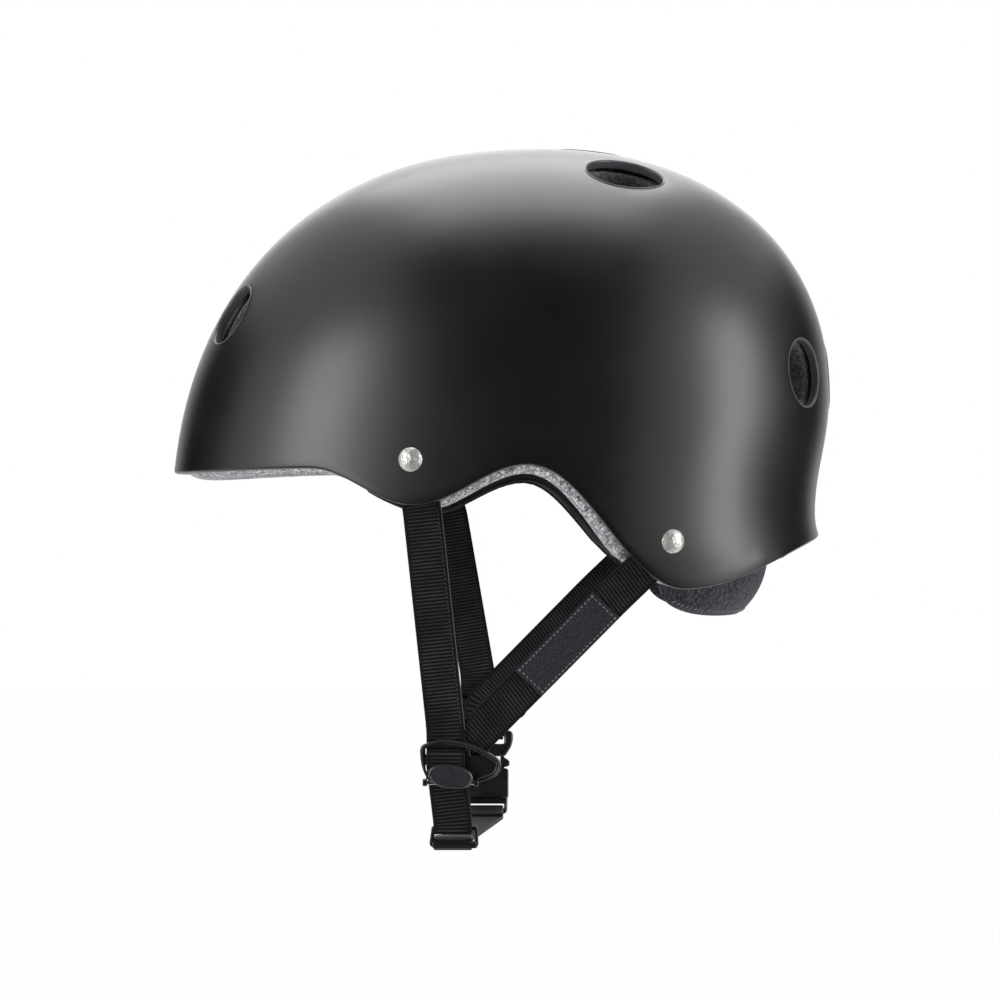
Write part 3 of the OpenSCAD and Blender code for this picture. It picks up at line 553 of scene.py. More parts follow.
def hammered_nickel(tree, place):
    """Nickel-plated brass rivet head: bright, with small hammered dimples and grime in them"""
    dimple = add_node(tree, NOISE, {"Vector": place, "Scale": per(1.6), "Roughness": 0.6})
    film = add_node(tree, NOISE, {"Vector": place, "Scale": per(1.1), "Detail": 3, "Roughness": 0.7})
    grime = add_node(tree, RANGE, {0: film, 1: 0.52, 2: 0.7})
    return {
        "Metallic": 0.65,
        "Base Color": add_node(tree, MIX, {0: grime, 6: "#d8d6d2", 7: "#6f6a64"}, 2, data_type="RGBA"),
        "Roughness": add_node(tree, RANGE, {0: grime, 3: 0.3, 4: 0.55}),
        "Normal": add_node(tree, BUMP, {"Height": dimple, "Distance": 0.45 * MM, "Strength": 0.8}),
    }


def plated_steel(tree, place, colour, rough):
    """Plain steel: even grey metal with faint turning marks"""
    marks = add_node(tree, NOISE, {"Vector": place, "Scale": per(0.8), "Detail": 3})
    return {
        "Metallic": 1.0,
        "Base Color": add_node(tree, MIX, {0: marks, 6: colour, 7: "#8f9093"}, 2, data_type="RGBA"),
        "Roughness": add_node(tree, RANGE, {0: marks, 1: 0.3, 2: 0.7, 3: rough - 0.06, 4: rough + 0.08}),
        "Normal": add_node(tree, BUMP, {"Height": marks, "Distance": 0.01 * MM}),
    }


def sewing_thread(tree, place, shadow, colour):
    """Bonded polyester thread, with a slight twist in its shade"""
    twist = add_node(tree, NOISE, {"Vector": place, "Scale": per(0.25)})
    return {
        "Roughness": 0.6, "Sheen Weight": 0.2,
        "Base Color": add_node(tree, MIX, {0: twist, 6: shadow, 7: colour}, 2, data_type="RGBA"),
        "Normal": add_node(tree, BUMP, {"Height": twist, "Distance": 0.05 * MM}),
    }


def hook_tape(tree, place):
    """Hook-and-loop tape: a dense dark pile"""
    pile = add_node(tree, CELLS, {"Vector": place, "Scale": per(0.7)})
    return {
        "Roughness": 0.9,
        "Base Color": add_node(tree, MIX, {0: pile, 6: "#3a3a3e", 7: "#101012"}, 2, data_type="RGBA"),
        "Normal": add_node(tree, BUMP, {"Height": pile, "Distance": 0.2 * MM}),
    }


SHELL_FINISH = new_material("moulded_abs_satin", moulded_shell)
FOAM_FINISH = new_material("expanded_polystyrene", bead_foam)
PAD_FINISH = new_material("brushed_tricot", pad_cloth)
NAPE_FINISH = new_material("heathered_fleece", nape_cloth)
WEB_FINISH = new_material("ribbed_polyester_web", ribbed_web, uv="web")
LABEL_FINISH = new_material("damask_label", woven_label, uv="web")
HARD_FINISH = new_material("acetal_black", moulded_hardware, "#0d0d0f", "#161618")
# A lighter copy of the same black acetal: painted highlight on the levers' faces and on the divider frames' rims
LIT_ACETAL_FINISH = new_material("acetal_lever_satin", moulded_hardware, "#252529", "#2c2c31")
RIVET_FINISH = new_material("nickel_plate_hammered", hammered_nickel)
WASHER_FINISH = new_material("zinc_plated_steel", plated_steel, "#b9babd", 0.32)
PIN_FINISH = new_material("drawn_steel_pin", plated_steel, "#c4c5c8", 0.25)
GREY_THREAD = new_material("grey_thread", sewing_thread, "#55555a", "#7e7e83")
BLACK_THREAD = new_material("black_thread", sewing_thread, "#101013", "#2b2b2f")
DOT_FINISH = new_material("hook_and_loop", hook_tape)


# ---------------------------------------------------------------- shell and liner

COLS = 260
ROWS = 64
VENT_STEPS = 96


def hole_ring(vent, radius, depth):
    """Points of a vent's edge: on the skin above, and at this depth and radius from its axis"""
    centre, axis = vent_axis(vent)
    side = np.cross(axis, [0.0, 0.0, 1.0])
    side /= np.linalg.norm(side)
    other = np.cross(axis, side)
    turn = np.linspace(0, 2 * math.pi, VENT_STEPS, endpoint=False)[:, None]
    ways = np.cos(turn) * side + vent[4] * np.sin(turn) * other
    stretch = np.linalg.norm(ways, axis=1)
    ways /= stretch[:, None]
    radius = radius * stretch
    r = radius.copy()
    for _ in range(6):
        above = leave_skin(centre + r[:, None] * ways, axis)
        p = above - np.asarray(depth) * skin_normal(above)
        flat = (p - centre) - ((p - centre) @ axis)[:, None] * axis
        r *= radius / np.linalg.norm(flat, axis=1)
    return above, p


def dome_sheet(form, edge, depth_of, hole_d, lip, flip):
    """One surface of the dome with its vents left open. Returns the rings round it and the vents"""
    angles = np.linspace(0, 2 * math.pi, COLS, endpoint=False)

    def edge_at(a):
        return np.interp(a, angles, edge, period=2 * math.pi)

    holes = [(vent_axis(v), v[3] / 2 + hole_d + lip) for v in VENTS]
    flat, above = [], []
    for k in range(ROWS):
        rho = 1 - k / ROWS
        count = COLS if k == 0 else max(16, round(COLS * rho ** 0.8))
        a = (np.arange(count) + 0.5 * (k % 2)) * 2 * math.pi / count
        e = edge_at(a)
        q = skin(a, e + (CROWN_H - e) * math.sin(math.pi / 2 * (1 - rho)))
        keep = np.ones(count, bool)
        for (centre, axis), radius in holes:
            away = (q - centre) - ((q - centre) @ axis)[:, None] * axis
            near = (np.linalg.norm(away, axis=1) < radius + 1.2) & ((q - centre) @ axis > -30)
            keep &= ~near
        flat.extend(zip(rho * np.cos(a[keep]), rho * np.sin(a[keep])))
        above.append(q[keep])
    above = np.concatenate(above)
    points = above - depth_of(above)[:, None] * skin_normal(above)
    flat.append((0.0, 0.0))
    pole = [0, WIDEST_Y, CROWN_H - float(depth_of(above[-1:])[0])]
    points = np.concatenate([points, [pole]])
    loops, ties = [], []
    for vent in VENTS:
        q, p = hole_ring(vent, vent[3] / 2 + hole_d + lip, depth_of(vent_axis(vent)[0][None])[0])
        sin = signed_pow(q[:, 0] / half_width(q[:, 2]), PLAN_ROUND / 2)
        cos = signed_pow((q[:, 1] - WIDEST_Y) / reach(q[:, 2], q[:, 1] < WIDEST_Y), PLAN_ROUND / 2)
        a = np.arctan2(sin, cos)
        e = edge_at(a)
        rho = 1 - np.arcsin(np.clip((q[:, 2] - e) / (CROWN_H - e), -1, 1)) / (math.pi / 2)
        start = len(flat)
        flat.extend(zip(rho * np.cos(a), rho * np.sin(a)))
        points = np.concatenate([points, p])
        loops.append(list(range(start, start + VENT_STEPS)))
        ties.extend((start + i, start + (i + 1) % VENT_STEPS) for i in range(VENT_STEPS))
    _, _, faces, _, _, _ = delaunay_2d_cdt([Vector(p) for p in flat], ties, [], 0, 1e-9)
    owner = np.full(len(flat), -1)
    for number, loop in enumerate(loops):
        owner[loop] = number
    index = form.add(points)
    for face in faces:
        own = {owner[i] for i in face}
        if len(own) == 1 and own != {-1}:
            continue
        face = tuple(index[i] for i in face)
        form.faces.append(face if flip else face[::-1])
    return index[:COLS], [[index[i] for i in loop] for loop in loops]


def dome_wall(edge_out, edge_in, depth_out, depth_in, rim, hole_d, lip):
    """Closed moulded wall between two depths, with rounded vents and a rounded lower edge"""
    form = Form()
    outer_rim, outer_holes = dome_sheet(form, edge_out, depth_out, hole_d, lip, False)
    inner_rim, inner_holes = dome_sheet(form, edge_in, depth_in, hole_d, lip, True)
    top, low = np.array(form.points)[outer_rim], np.array(form.points)[inner_rim]
    rings = [outer_rim]
    steps = 8
    for k in range(1, steps):
        t = math.pi * k / steps
        middle = top + (low - top) * (1 - math.cos(t)) / 2
        middle[:, 2] -= rim * math.sin(t)
        rings.append(form.add(middle))
    rings.append(inner_rim)
    form.strip(rings)
    for vent, outer, inner in zip(VENTS, outer_holes, inner_holes):
        spot = vent_axis(vent)[0][None]
        radius = vent[3] / 2 + hole_d
        crest = hole_ring(vent, radius, depth_out(spot)[0])[1]
        heel = hole_ring(vent, radius, depth_in(spot)[0])[1]
        down = heel - crest
        down /= np.linalg.norm(down, axis=1)[:, None]
        start, end = np.array(form.points)[outer], np.array(form.points)[inner]
        rings = [outer]
        for t in (0.25, 0.5, 0.75, 1.0):
            bend = (1 - t) ** 2 * start + 2 * t * (1 - t) * crest + t * t * (crest + lip * down)
            rings.append(form.add(bend))
        for t in (1.0, 0.75, 0.5, 0.25):
            bend = (1 - t) ** 2 * end + 2 * t * (1 - t) * heel + t * t * (heel - lip * down)
            rings.append(form.add(bend))
        rings.append(inner)
        form.strip(rings, flip=True)
        # The vent walls are marked for painted light: a painted highlight on the shell, painted shade in the
        # liner
        form.ducts.extend(i for ring in rings[1:-1] for i in ring)
    return form


def mark_ducts(piece, ducts):
    """Tells the finish which points lie in a vent or on its rim, where it paints light: a painted highlight on
    the shell, painted shade in the foam
    """
    values = np.zeros(len(piece.data.vertices))
    values[list(ducts)] = 1
    piece.data.attributes.new("duct", "FLOAT", "POINT").data.foreach_set("value", values)


def even(depth):
    return lambda p: np.full(len(p), float(depth))


def outer_shell():
    angles = np.linspace(0, 2 * math.pi, COLS, endpoint=False)
    edge = shell_edge(angles) + SHELL_RIM
    form = dome_wall(edge, edge, even(0), even(SHELL_WALL), SHELL_RIM, 0, SHELL_LIP)
    wall = mesh_object("shell_wall", form.points, form.faces)
    mark_ducts(wall, form.ducts)
    tidy_mesh(wall, 1e-6)
    beads = []
    for vent in VENTS:
        ring = hole_ring(vent, vent[3] / 2 + SHELL_LIP + 0.1, -0.08)[1]
        bead = tube("vent_bead", ring, 0.26, closed=True, sides=8)
        # The whole bead is marked, so it takes the shell's painted highlight
        mark_ducts(bead, range(len(bead.data.vertices)))
        beads.append(bead)
    piece = smoothed(joined("moulded_shell", [wall] + beads))
    settle(piece, "helmet", "shell", SHELL_FINISH, "outer_shell")


def beside_line(p, a, b):
    """Distance from the line a-b, seen from the side"""
    a, b = np.asarray(a)[1:], np.asarray(b)[1:]
    q = p[:, 1:]
    t = np.clip(((q - a) @ (b - a)) / ((b - a) @ (b - a)), 0, 1)
    return np.linalg.norm(q - a - t[:, None] * (b - a), axis=1)


def foam_liner(straps):
    """The liner, recessed where the straps and the rivets' washers run down behind the shell"""
    angles = np.linspace(0, 2 * math.pi, COLS, endpoint=False)

    def recessed(p):
        depth = np.full(len(p), float(LINER_OUT))
        for side, lines in straps:
            for a, b in lines:
                d = beside_line(p, a, b)
                near = np.clip((WEB_W / 2 + 3.2 - d) / 2.6, 0, 1) * (p[:, 0] * side > 50)
                depth = np.maximum(depth, LINER_OUT + 3.8 * near * near * (3 - 2 * near))
        return depth

    edge = liner_edge(angles, LINER_OUT) + LINER_RIM
    form = dome_wall(edge, edge, recessed, even(LINER_IN), LINER_RIM, -0.5, LINER_LIP)
    piece = mesh_object("foam_liner_body", form.points, form.faces)
    mark_ducts(piece, form.ducts)
    tidy_mesh(piece, 1e-6)
    settle(piece, "helmet", "liner_foam", FOAM_FINISH, "foam_liner")


# ---------------------------------------------------------------- comfort pads

def pad_form(angles, low_of, high_z, channels=(), cols=72, rows=36):
    """Closed stuffed pad: flat on the liner's side, swelling inwards, pulled in at its seams"""
    s = np.linspace(-1, 1, cols + 1)[None, :]
    t = np.linspace(-1, 1, rows + 1)[:, None]
    pulled = s * (1 - 0.10 * np.abs(t) ** 5)
    a = angles[0] + (angles[1] - angles[0]) * (pulled + 1) / 2
    low = low_of(a.ravel()).reshape(a.shape)
    rise = (t * (1 - 0.07 * np.abs(s) ** 5) + 1) / 2
    z = low + (high_z - low) * rise
    full = np.sqrt(np.clip((1 - np.abs(s) ** 9) * (1 - np.abs(t) ** 7), 0, 1))
    for c in channels:
        full = full * (1 - 0.45 * np.exp(-((s - c) / 0.035) ** 2))
    seam = PAD_OUT + 0.22 * PAD_T
    q = skin(a, z)
    n = skin_normal(q)
    back = q - (seam - 0.22 * PAD_T * full)[..., None] * n
    face = q - (seam + 0.78 * PAD_T * full)[..., None] * n
    form = Form()
    outer = [form.add(row) for row in back]
    inner = [form.add(row) for row in face]
    form.strip(outer, closed=False, flip=True)
    form.strip(inner, closed=False)
    return form, np.concatenate([back[0], back[1:, -1], back[-1, -2::-1], back[-2:0:-1, 0]])


def tube(name, path, radius, closed=False, sides=10):
    """Round bar swept along a path, in millimetres"""
    path = np.asarray(path, float)
    ahead = np.roll(path, -1, 0) - np.roll(path, 1, 0) if closed else np.gradient(path, axis=0)
    ahead /= np.linalg.norm(ahead, axis=1)[:, None]
    normal = np.cross(ahead[0], [0.31, 0.52, 0.79])
    form = Form()
    rings = []
    turn = np.linspace(0, 2 * math.pi, sides, endpoint=False)[:, None]
    for p, t in zip(path, ahead):
        normal = normal - (normal @ t) * t
        normal /= np.linalg.norm(normal)
        other = np.cross(t, normal)
        rings.append(form.add(p + radius * (np.cos(turn) * normal + np.sin(turn) * other)))
    if closed:
        first, last = np.array(form.points)[rings[0]], np.array(form.points)[rings[-1]]
        shift = int(np.argmin([np.linalg.norm(last[0] - f) for f in first]))
        form.strip(rings)
        form.strip([rings[-1], rings[0][shift:] + rings[0][:shift]])
    else:
        form.capped(rings)
    return form.piece(name)


def piped_pad(name, node, form, border):
    """A stuffed pad with piping round its border"""
    piping = tube("piping", border, 0.75, closed=True, sides=8)
    piece = smoothed(joined(name, [form.piece("pad"), piping]))
    settle(piece, "helmet", "pad_fabric", PAD_FINISH, node)


def comfort_pad(name, node, angles, low_of, high_z, channels):
    form, border = pad_form([math.radians(a) for a in angles], low_of, high_z, channels)
    piped_pad(name, node, form, border[::2])


def above_liner(extra):
    return lambda a: liner_edge(a, LINER_IN) + extra


def crown_pad(rows=24, cols=96):
    """Round crown pad, sewn down along a star of channels"""
    form = Form()
    top_share = 0.93
    backs, faces = [], []
    turn = np.linspace(0, 2 * math.pi, cols, endpoint=False)
    for k in range(rows):
        rho = 1 - k / rows
        z = CROWN_H * top_share + CROWN_H * (1 - top_share) * math.sin(math.pi / 2 * (1 - rho))
        full = math.sqrt(max(0, 1 - rho ** 8))
        star = 1 - 0.35 * np.exp(-(np.sin(2.5 * turn) * rho / 0.1) ** 2) * (1 - math.exp(-(rho / 0.2) ** 2))
        q = skin(turn, np.full(cols, z))
        n = skin_normal(q)
        seam = PAD_OUT + 0.22 * PAD_T
        backs.append(form.add(q - (seam - 0.22 * PAD_T * full) * n))
        faces.append(form.add(q - (seam + 0.78 * PAD_T * full * star)[:, None] * n))
    form.strip(backs, flip=True)
    form.strip(faces)
    form.fan(backs[-1], [0, WIDEST_Y, CROWN_H - PAD_OUT], flip=True)
    form.fan(faces[-1], [0, WIDEST_Y, CROWN_H - PAD_OUT - PAD_T])
    piped_pad("crown_comfort_pad", "crown_pad", form, np.array(form.points)[backs[0]])


def nape_section(a, around):
    """Points round the nape pad at a plan angle, from its outer face under and up its inner one"""
    ends = math.sqrt(max(0, 1 - (a / NAPE_HALF) ** 6))
    foot = NAPE_TOP - NAPE_H * (0.62 + 0.38 * ends)
    t = np.linspace(0, 2 * math.pi, around, endpoint=False)
    up = (1 + np.sin(t)) / 2
    z = foot + (NAPE_TOP - foot) * up
    thin = 0.35 + 0.65 * math.sqrt(max(0, 1 - (a / NAPE_HALF) ** 8))
    depth = NAPE_DEPTH + NAPE_T / 2 * (1 - thin * np.cos(t)) + NAPE_LEAN * (1 - up) ** 2
    p = skin(np.full(around, a), np.maximum(z, NAPE_FOLLOW))
    level = skin_normal(p) * [1, 1, 0]
    level /= np.linalg.norm(level, axis=1)[:, None]
    p -= depth[:, None] * level
    p[:, 2] += np.minimum(0, z - NAPE_FOLLOW)
    return p


def nape_pad(cols=90, around=40):
    form = Form()
    rings = [form.add(nape_section(a, around)) for a in np.linspace(-NAPE_HALF, NAPE_HALF, cols + 1)]
    form.capped(rings)
    piece = form.piece("nape_comfort_pad")
    settle(piece, "helmet", "nape_fabric", NAPE_FINISH, "nape_pad")


# ---------------------------------------------------------------- webbing

def unit(v):
    v = np.asarray(v, float)
    return v / np.linalg.norm(v)


def on_plane(y, z, n=0.0):
    """Point of the left harness plane: Y, height and distance outwards"""
    return np.array([
        PLANE_X + z * math.tan(LEAN) + n * math.cos(LEAN), y, z - n * math.sin(LEAN)
    ])


PLANE_OUT = np.array([math.cos(LEAN), 0, -math.sin(LEAN)])
PLANE_UP = np.array([math.sin(LEAN), 0, math.cos(LEAN)])
LEVEL = np.array([0, 1.0, 0])


def across(way, out):
    return unit(np.cross(way, out))


def along_skin(way, n):
    return unit(way - (way @ n) * n)


def web_stations(divider, bar, bar_radius, knee_at):
    """Path of one side's webbing, as points with the direction of its width"""
    front, rear = skin_beside(*RIVET_FRONT), skin_beside(*RIVET_REAR)
    sink = SHELL_WALL + WEB_LAY + WEB_T / 2
    front_n, rear_n = skin_normal(front), skin_normal(rear)
    f0, r0 = front - sink * front_n, rear - sink * rear_n
    knee = on_plane(*knee_at)
    slot_y, zc = divider[0] + SLOT_SHIFT, divider[1]
    back = -WEB_FRONT_N
    f_up = along_skin(f0 - knee, front_n)
    top, low = sum(SLOT_TOP) / 2, sum(SLOT_LOW) / 2
    top_in = on_plane(slot_y, zc + DIVIDER_H / 2 + 2, back)
    leg_up = unit(knee - top_in)
    turn = on_plane(slot_y + 1.4, zc - 1.6, back - WEB_T - 0.4)
    r_leg = unit(r0 - turn)
    r_side = across(r_leg, PLANE_OUT)
    r_up = along_skin(r_leg, rear_n)
    y, z, r = bar[0], bar[1], bar_radius
    return [
        (f0 + WEB_TAIL * f_up - TAIL_SINK * front_n, across(f_up, front_n), 0),
        (f0, across(f_up, front_n), 4),
        (f0 - WEB_TAIL * f_up - TAIL_SINK * front_n, across(f_up, front_n), 6),
        (knee, across(leg_up, PLANE_OUT), 10),
        (top_in, LEVEL, 6),
        (on_plane(slot_y, zc + top, back), LEVEL, 1.6),
        (on_plane(slot_y, zc + top, -back), LEVEL, 1.6),
        (on_plane(slot_y, zc + low, -back), LEVEL, 1.6),
        (on_plane(slot_y, zc + low, back), LEVEL, 1.6),
        (on_plane(y, z + 1.2 * r, back), LEVEL, 3),
        (on_plane(y, z - r, back), LEVEL, r),
        (on_plane(y, z - r, back - 2 * r), LEVEL, r),
        (on_plane(y, z + 1.2 * r, back - 2 * r), LEVEL, 3),
        (on_plane(slot_y + 1.4, zc - DIVIDER_H / 2 + 2, back - WEB_T - 0.6), LEVEL, 3),
        (turn, unit(LEVEL + r_side), 10),
        (turn + 14 * r_leg, r_side, 4),
        (r0 - 34 * r_leg, r_side, 6),
        (r0 - WEB_TAIL * r_up - TAIL_SINK * rear_n, across(r_up, rear_n), 6),
        (r0, across(r_up, rear_n), 4),
        (r0 + WEB_TAIL * r_up - TAIL_SINK * rear_n, across(r_up, rear_n), 0),
    ]


def rounded(stations, steps=10):
    """Stations with their corners turned into curves"""
    path = []
    for i, (p, way, radius) in enumerate(stations):
        if i in (0, len(stations) - 1):
            path.append((np.asarray(p, float), unit(way)))
            continue
        before, after = stations[i - 1], stations[i + 1]
        a, b = np.asarray(before[0]) - p, np.asarray(after[0]) - p
        r = min(radius, np.linalg.norm(a) * 0.49, np.linalg.norm(b) * 0.49)
        start, end = p + r * unit(a), p + r * unit(b)
        for k in range(steps + 1):
            t = k / steps
            spot = (1 - t) ** 2 * start + 2 * t * (1 - t) * p + t * t * end
            path.append((spot, unit(before[1] * (1 - t) / 2 + way + after[1] * t / 2)))
    return path


def resampled(path, step):
    """Path with even spacing, and the distance along it"""
    points = np.array([p for p, _ in path])
    ways = np.array([w for _, w in path])
    gaps = np.linalg.norm(np.diff(points, axis=0), axis=1)
    run = np.concatenate([[0], np.cumsum(gaps)])
    s = np.linspace(0, run[-1], int(run[-1] / step) + 1)
    p = np.stack([np.interp(s, run, points[:, k]) for k in range(3)], axis=1)
    w = np.stack([np.interp(s, run, ways[:, k]) for k in range(3)], axis=1)
    return p, w / np.linalg.norm(w, axis=1)[:, None], s


def web_piece(
    name, path, width, thick, mirror=False, pitch=RIB_PITCH, skew_at=None, edge_highlight_to=0, depth=RIB_DEPTH,
):
    """Flat webbing with real ribs across it, and its own map of places across and along it"""
    p, w, s = resampled(path, pitch / 5)
    ahead = np.gradient(p, axis=0)
    ahead /= np.linalg.norm(ahead, axis=1)[:, None]
    n = np.cross(ahead, w)
    n /= np.linalg.norm(n, axis=1)[:, None]
    w = np.cross(n, ahead)
    half, r = width / 2, thick / 2
    flat = np.append(np.linspace(-half + r, half - r - 0.25, 13), half - r)
    bend = np.linspace(-90, 90, 7)[1:-1]
    right = [(half - r + r * math.cos(math.radians(b)), r * math.sin(math.radians(b))) for b in bend]
    left = [(-x, -y) for x, y in right]
    ring = np.array([(x, -r) for x in flat] + right + [(x, r) for x in flat[::-1]] + left)
    form = Form()
    rings, crests, marks, places = [], [], [], []
    for i in range(len(p)):
        skew = skew_at(s[i]) if skew_at else 0.0
        swing = np.cos(2 * math.pi * (s[i] + skew * ring[:, 0]) / pitch)
        inside = np.clip((half - 0.9 - np.abs(ring[:, 0])) / 0.6, 0, 1)
        crest = 0.5 + 0.5 * swing
        out = ring[:, 1] * (1 - depth / r * (1 - crest) * inside)
        rings.append(form.add(p[i] + ring[:, :1] * w[i] + out[:, None] * n[i]))
        crests.extend(crest * inside + 0.35 * (1 - inside))
        # Points on the strap's rear edge, up to the given distance along it, are marked for a painted highlight
        marks.extend(((ring[:, 0] > half - 0.4 * r) & (s[i] < edge_highlight_to)).astype(float))
        places.extend((x * MM, s[i] * MM) for x in ring[:, 0])
    form.capped(rings)
    points = np.array(form.points) * [-1 if mirror else 1, 1, 1]
    piece = mesh_object(name, points, form.faces)
    mesh = piece.data
    for label, values in (("crest", crests), ("tracer", marks)):
        mesh.attributes.new(label, "FLOAT", "POINT").data.foreach_set("value", values)
    layer = mesh.uv_layers.new(name="web")
    corner_points = np.empty(len(mesh.loops), int)
    mesh.loops.foreach_get("vertex_index", corner_points)
    layer.data.foreach_set("uv", np.array(places)[corner_points].ravel())
    return tidy_mesh(piece, 0)


LEFT_BAR = (RING_Y, RING_Z + RING_GAP / 2)
RIGHT_BAR = (BUCKLE_Y, BUCKLE_Z + PLUG_BAR_V)
RING_WRAP = RING_BAR_D / 2 + WEB_SLIP + WEB_T / 2
BUCKLE_WRAP = BUCKLE_BAR_D / 2 + WEB_SLIP + WEB_T / 2
LEFT_STATIONS = web_stations(LEFT_DIVIDER, LEFT_BAR, RING_WRAP, (-32, -14))
RIGHT_STATIONS = web_stations(RIGHT_DIVIDER, RIGHT_BAR, BUCKLE_WRAP, (-24, -14))
RING_N = -WEB_FRONT_N - RING_WRAP
BUCKLE_N = -WEB_FRONT_N - BUCKLE_WRAP


def harness_webbing():
    for side, stations, node in ((1, LEFT_STATIONS, "left_webbing"), (-1, RIGHT_STATIONS, "right_webbing")):
        path = rounded(stations)
        legs = [np.linalg.norm(a[0] - b[0]) for a, b in zip(stations, stations[1:])]
        # On the left, the front strap's rear edge up to the divider gets a painted highlight
        piece = web_piece(
            node + "_weave", path, WEB_W, WEB_T, mirror=side < 0,
            edge_highlight_to=sum(legs[:4]) if side > 0 else 0,
            skew_at=lambda s, start=sum(legs[:14]): 0.16 * min(1, max(0, (s - start) / 20)),
        )
        settle(piece, "helmet", "webbing", WEB_FINISH, node)


def label_patch():
    """Bare woven patch, sewn on the outer face of the left rear strap"""
    low, side = LEFT_STATIONS[15][0], LEFT_STATIONS[15][1]
    way = unit(LEFT_STATIONS[16][0] - low)
    out = unit(np.cross(side, way))
    start = low + way * LABEL_START + out * ((WEB_T + LABEL_T) / 2 + WEB_LAY / 2)
    path = [(start, side), (start + way * LABEL_LEN, side)]
    piece = web_piece("label_patch", path, WEB_W - 1, LABEL_T, pitch=2.4, depth=0.05)
    settle(piece, "helmet", "label_fabric", LABEL_FINISH, "strap_label")
    return start, way, side, out


# ---------------------------------------------------------------- hardware

def harness_place(y, z, n, side):
    """Matrix from a piece's own X (backwards), Y (up) and Z (outwards) to its place"""
    origin = on_plane(y, z, n)
    rows = [
        [0, PLANE_UP[0], PLANE_OUT[0], origin[0]],
        [1, 0, 0, origin[1]],
        [0, PLANE_UP[2], PLANE_OUT[2], origin[2]],
        [0, 0, 0, 1],
    ]
    if side < 0:
        rows[0] = [-v for v in rows[0]]
    place = Matrix(rows)
    place.translation *= MM
    return place


def fitted(name, parts, spot, body, finish, *nodes):
    """Joins a moulding's parts, drawn in their own X, Y and Z, and puts them on the harness"""
    piece = joined(name, parts)
    piece.data.transform(harness_place(*spot))
    settle(smoothed(tidy_mesh(piece), 40), body, "hardware", finish, *nodes)


def moved(piece, x=0.0, y=0.0, z=0.0):
    piece.data.transform(Matrix.Translation((x * MM, y * MM, z * MM)))
    return piece


def plate(outlines, thick, bevel, lift=0.0):
    """Flat moulded plate with rounded edges. The first outline is its border, the rest are holes"""
    curve = bpy.data.curves.new("plate", "CURVE")
    curve.dimensions = "2D"
    curve.fill_mode = "BOTH"
    for outline in outlines:
        spline = curve.splines.new("POLY")
        spline.points.add(len(outline) - 1)
        for point, (x, y) in zip(spline.points, outline):
            point.co = (x * MM, y * MM, 0, 1)
        spline.use_cyclic_u = True
    curve.extrude = (thick / 2 - bevel) * MM
    curve.bevel_depth = bevel * MM
    curve.bevel_resolution = 3
    curve.offset = -bevel * MM
    piece = moved(frozen(shown("plate", curve)), z=lift)
    return smoothed(tidy_mesh(piece, 2e-6), 30)


def rounded_outline(corners, radius, steps=6):
    """Outline through corners, each turned into an arc-like curve"""
    out = []
    count = len(corners)
    for i, p in enumerate(corners):
        p = np.array(p, float)
        a, b = np.array(corners[i - 1]) - p, np.array(corners[(i + 1) % count]) - p
        r = min(radius[i] if isinstance(radius, (list, tuple)) else radius,
                np.linalg.norm(a) * 0.49, np.linalg.norm(b) * 0.49)
        if r <= 0:
            out.append(tuple(p))
            continue
        start, end = p + r * unit(a), p + r * unit(b)
        for k in range(steps + 1):
            t = k / steps
            out.append(tuple((1 - t) ** 2 * start + 2 * t * (1 - t) * p + t * t * end))
    return out


def box_outline(x0, x1, y0, y1, radius=0.6):
    return rounded_outline([(x0, y0), (x1, y0), (x1, y1), (x0, y1)], radius)


def oval(length, height, exponent=0.9, tilt=0.0, count=72):
    points = []
    for k in range(count):
        a = 2 * math.pi * k / count
        x = length / 2 * float(signed_pow(math.cos(a), exponent))
        y = height / 2 * float(signed_pow(math.sin(a), exponent))
        points.append((x * math.cos(tilt) + y * math.sin(tilt), -x * math.sin(tilt) + y * math.cos(tilt)))
    return points


def divider_border(inset=0.0):
    """Border of a divider frame: a low arch that falls to a tip at the rear, like half an eye"""
    corners = [
        (-16.4, -2.5), (-12.6, -10.4), (4.5, -10.4), (15.8, -6), (17.1, 0), (5.5, 7.2), (-8, 9.6),
        (-16.9, 6.4),
    ]
    points = np.array(rounded_outline(corners, [6, 4, 7, 5, 5, 8, 8, 2.4], 8))
    if inset:
        way = np.roll(points, -1, 0) - np.roll(points, 1, 0)
        way /= np.linalg.norm(way, axis=1)[:, None]
        points = points + inset * np.stack([-way[:, 1], way[:, 0]], axis=1)
    return [tuple(p) for p in points]


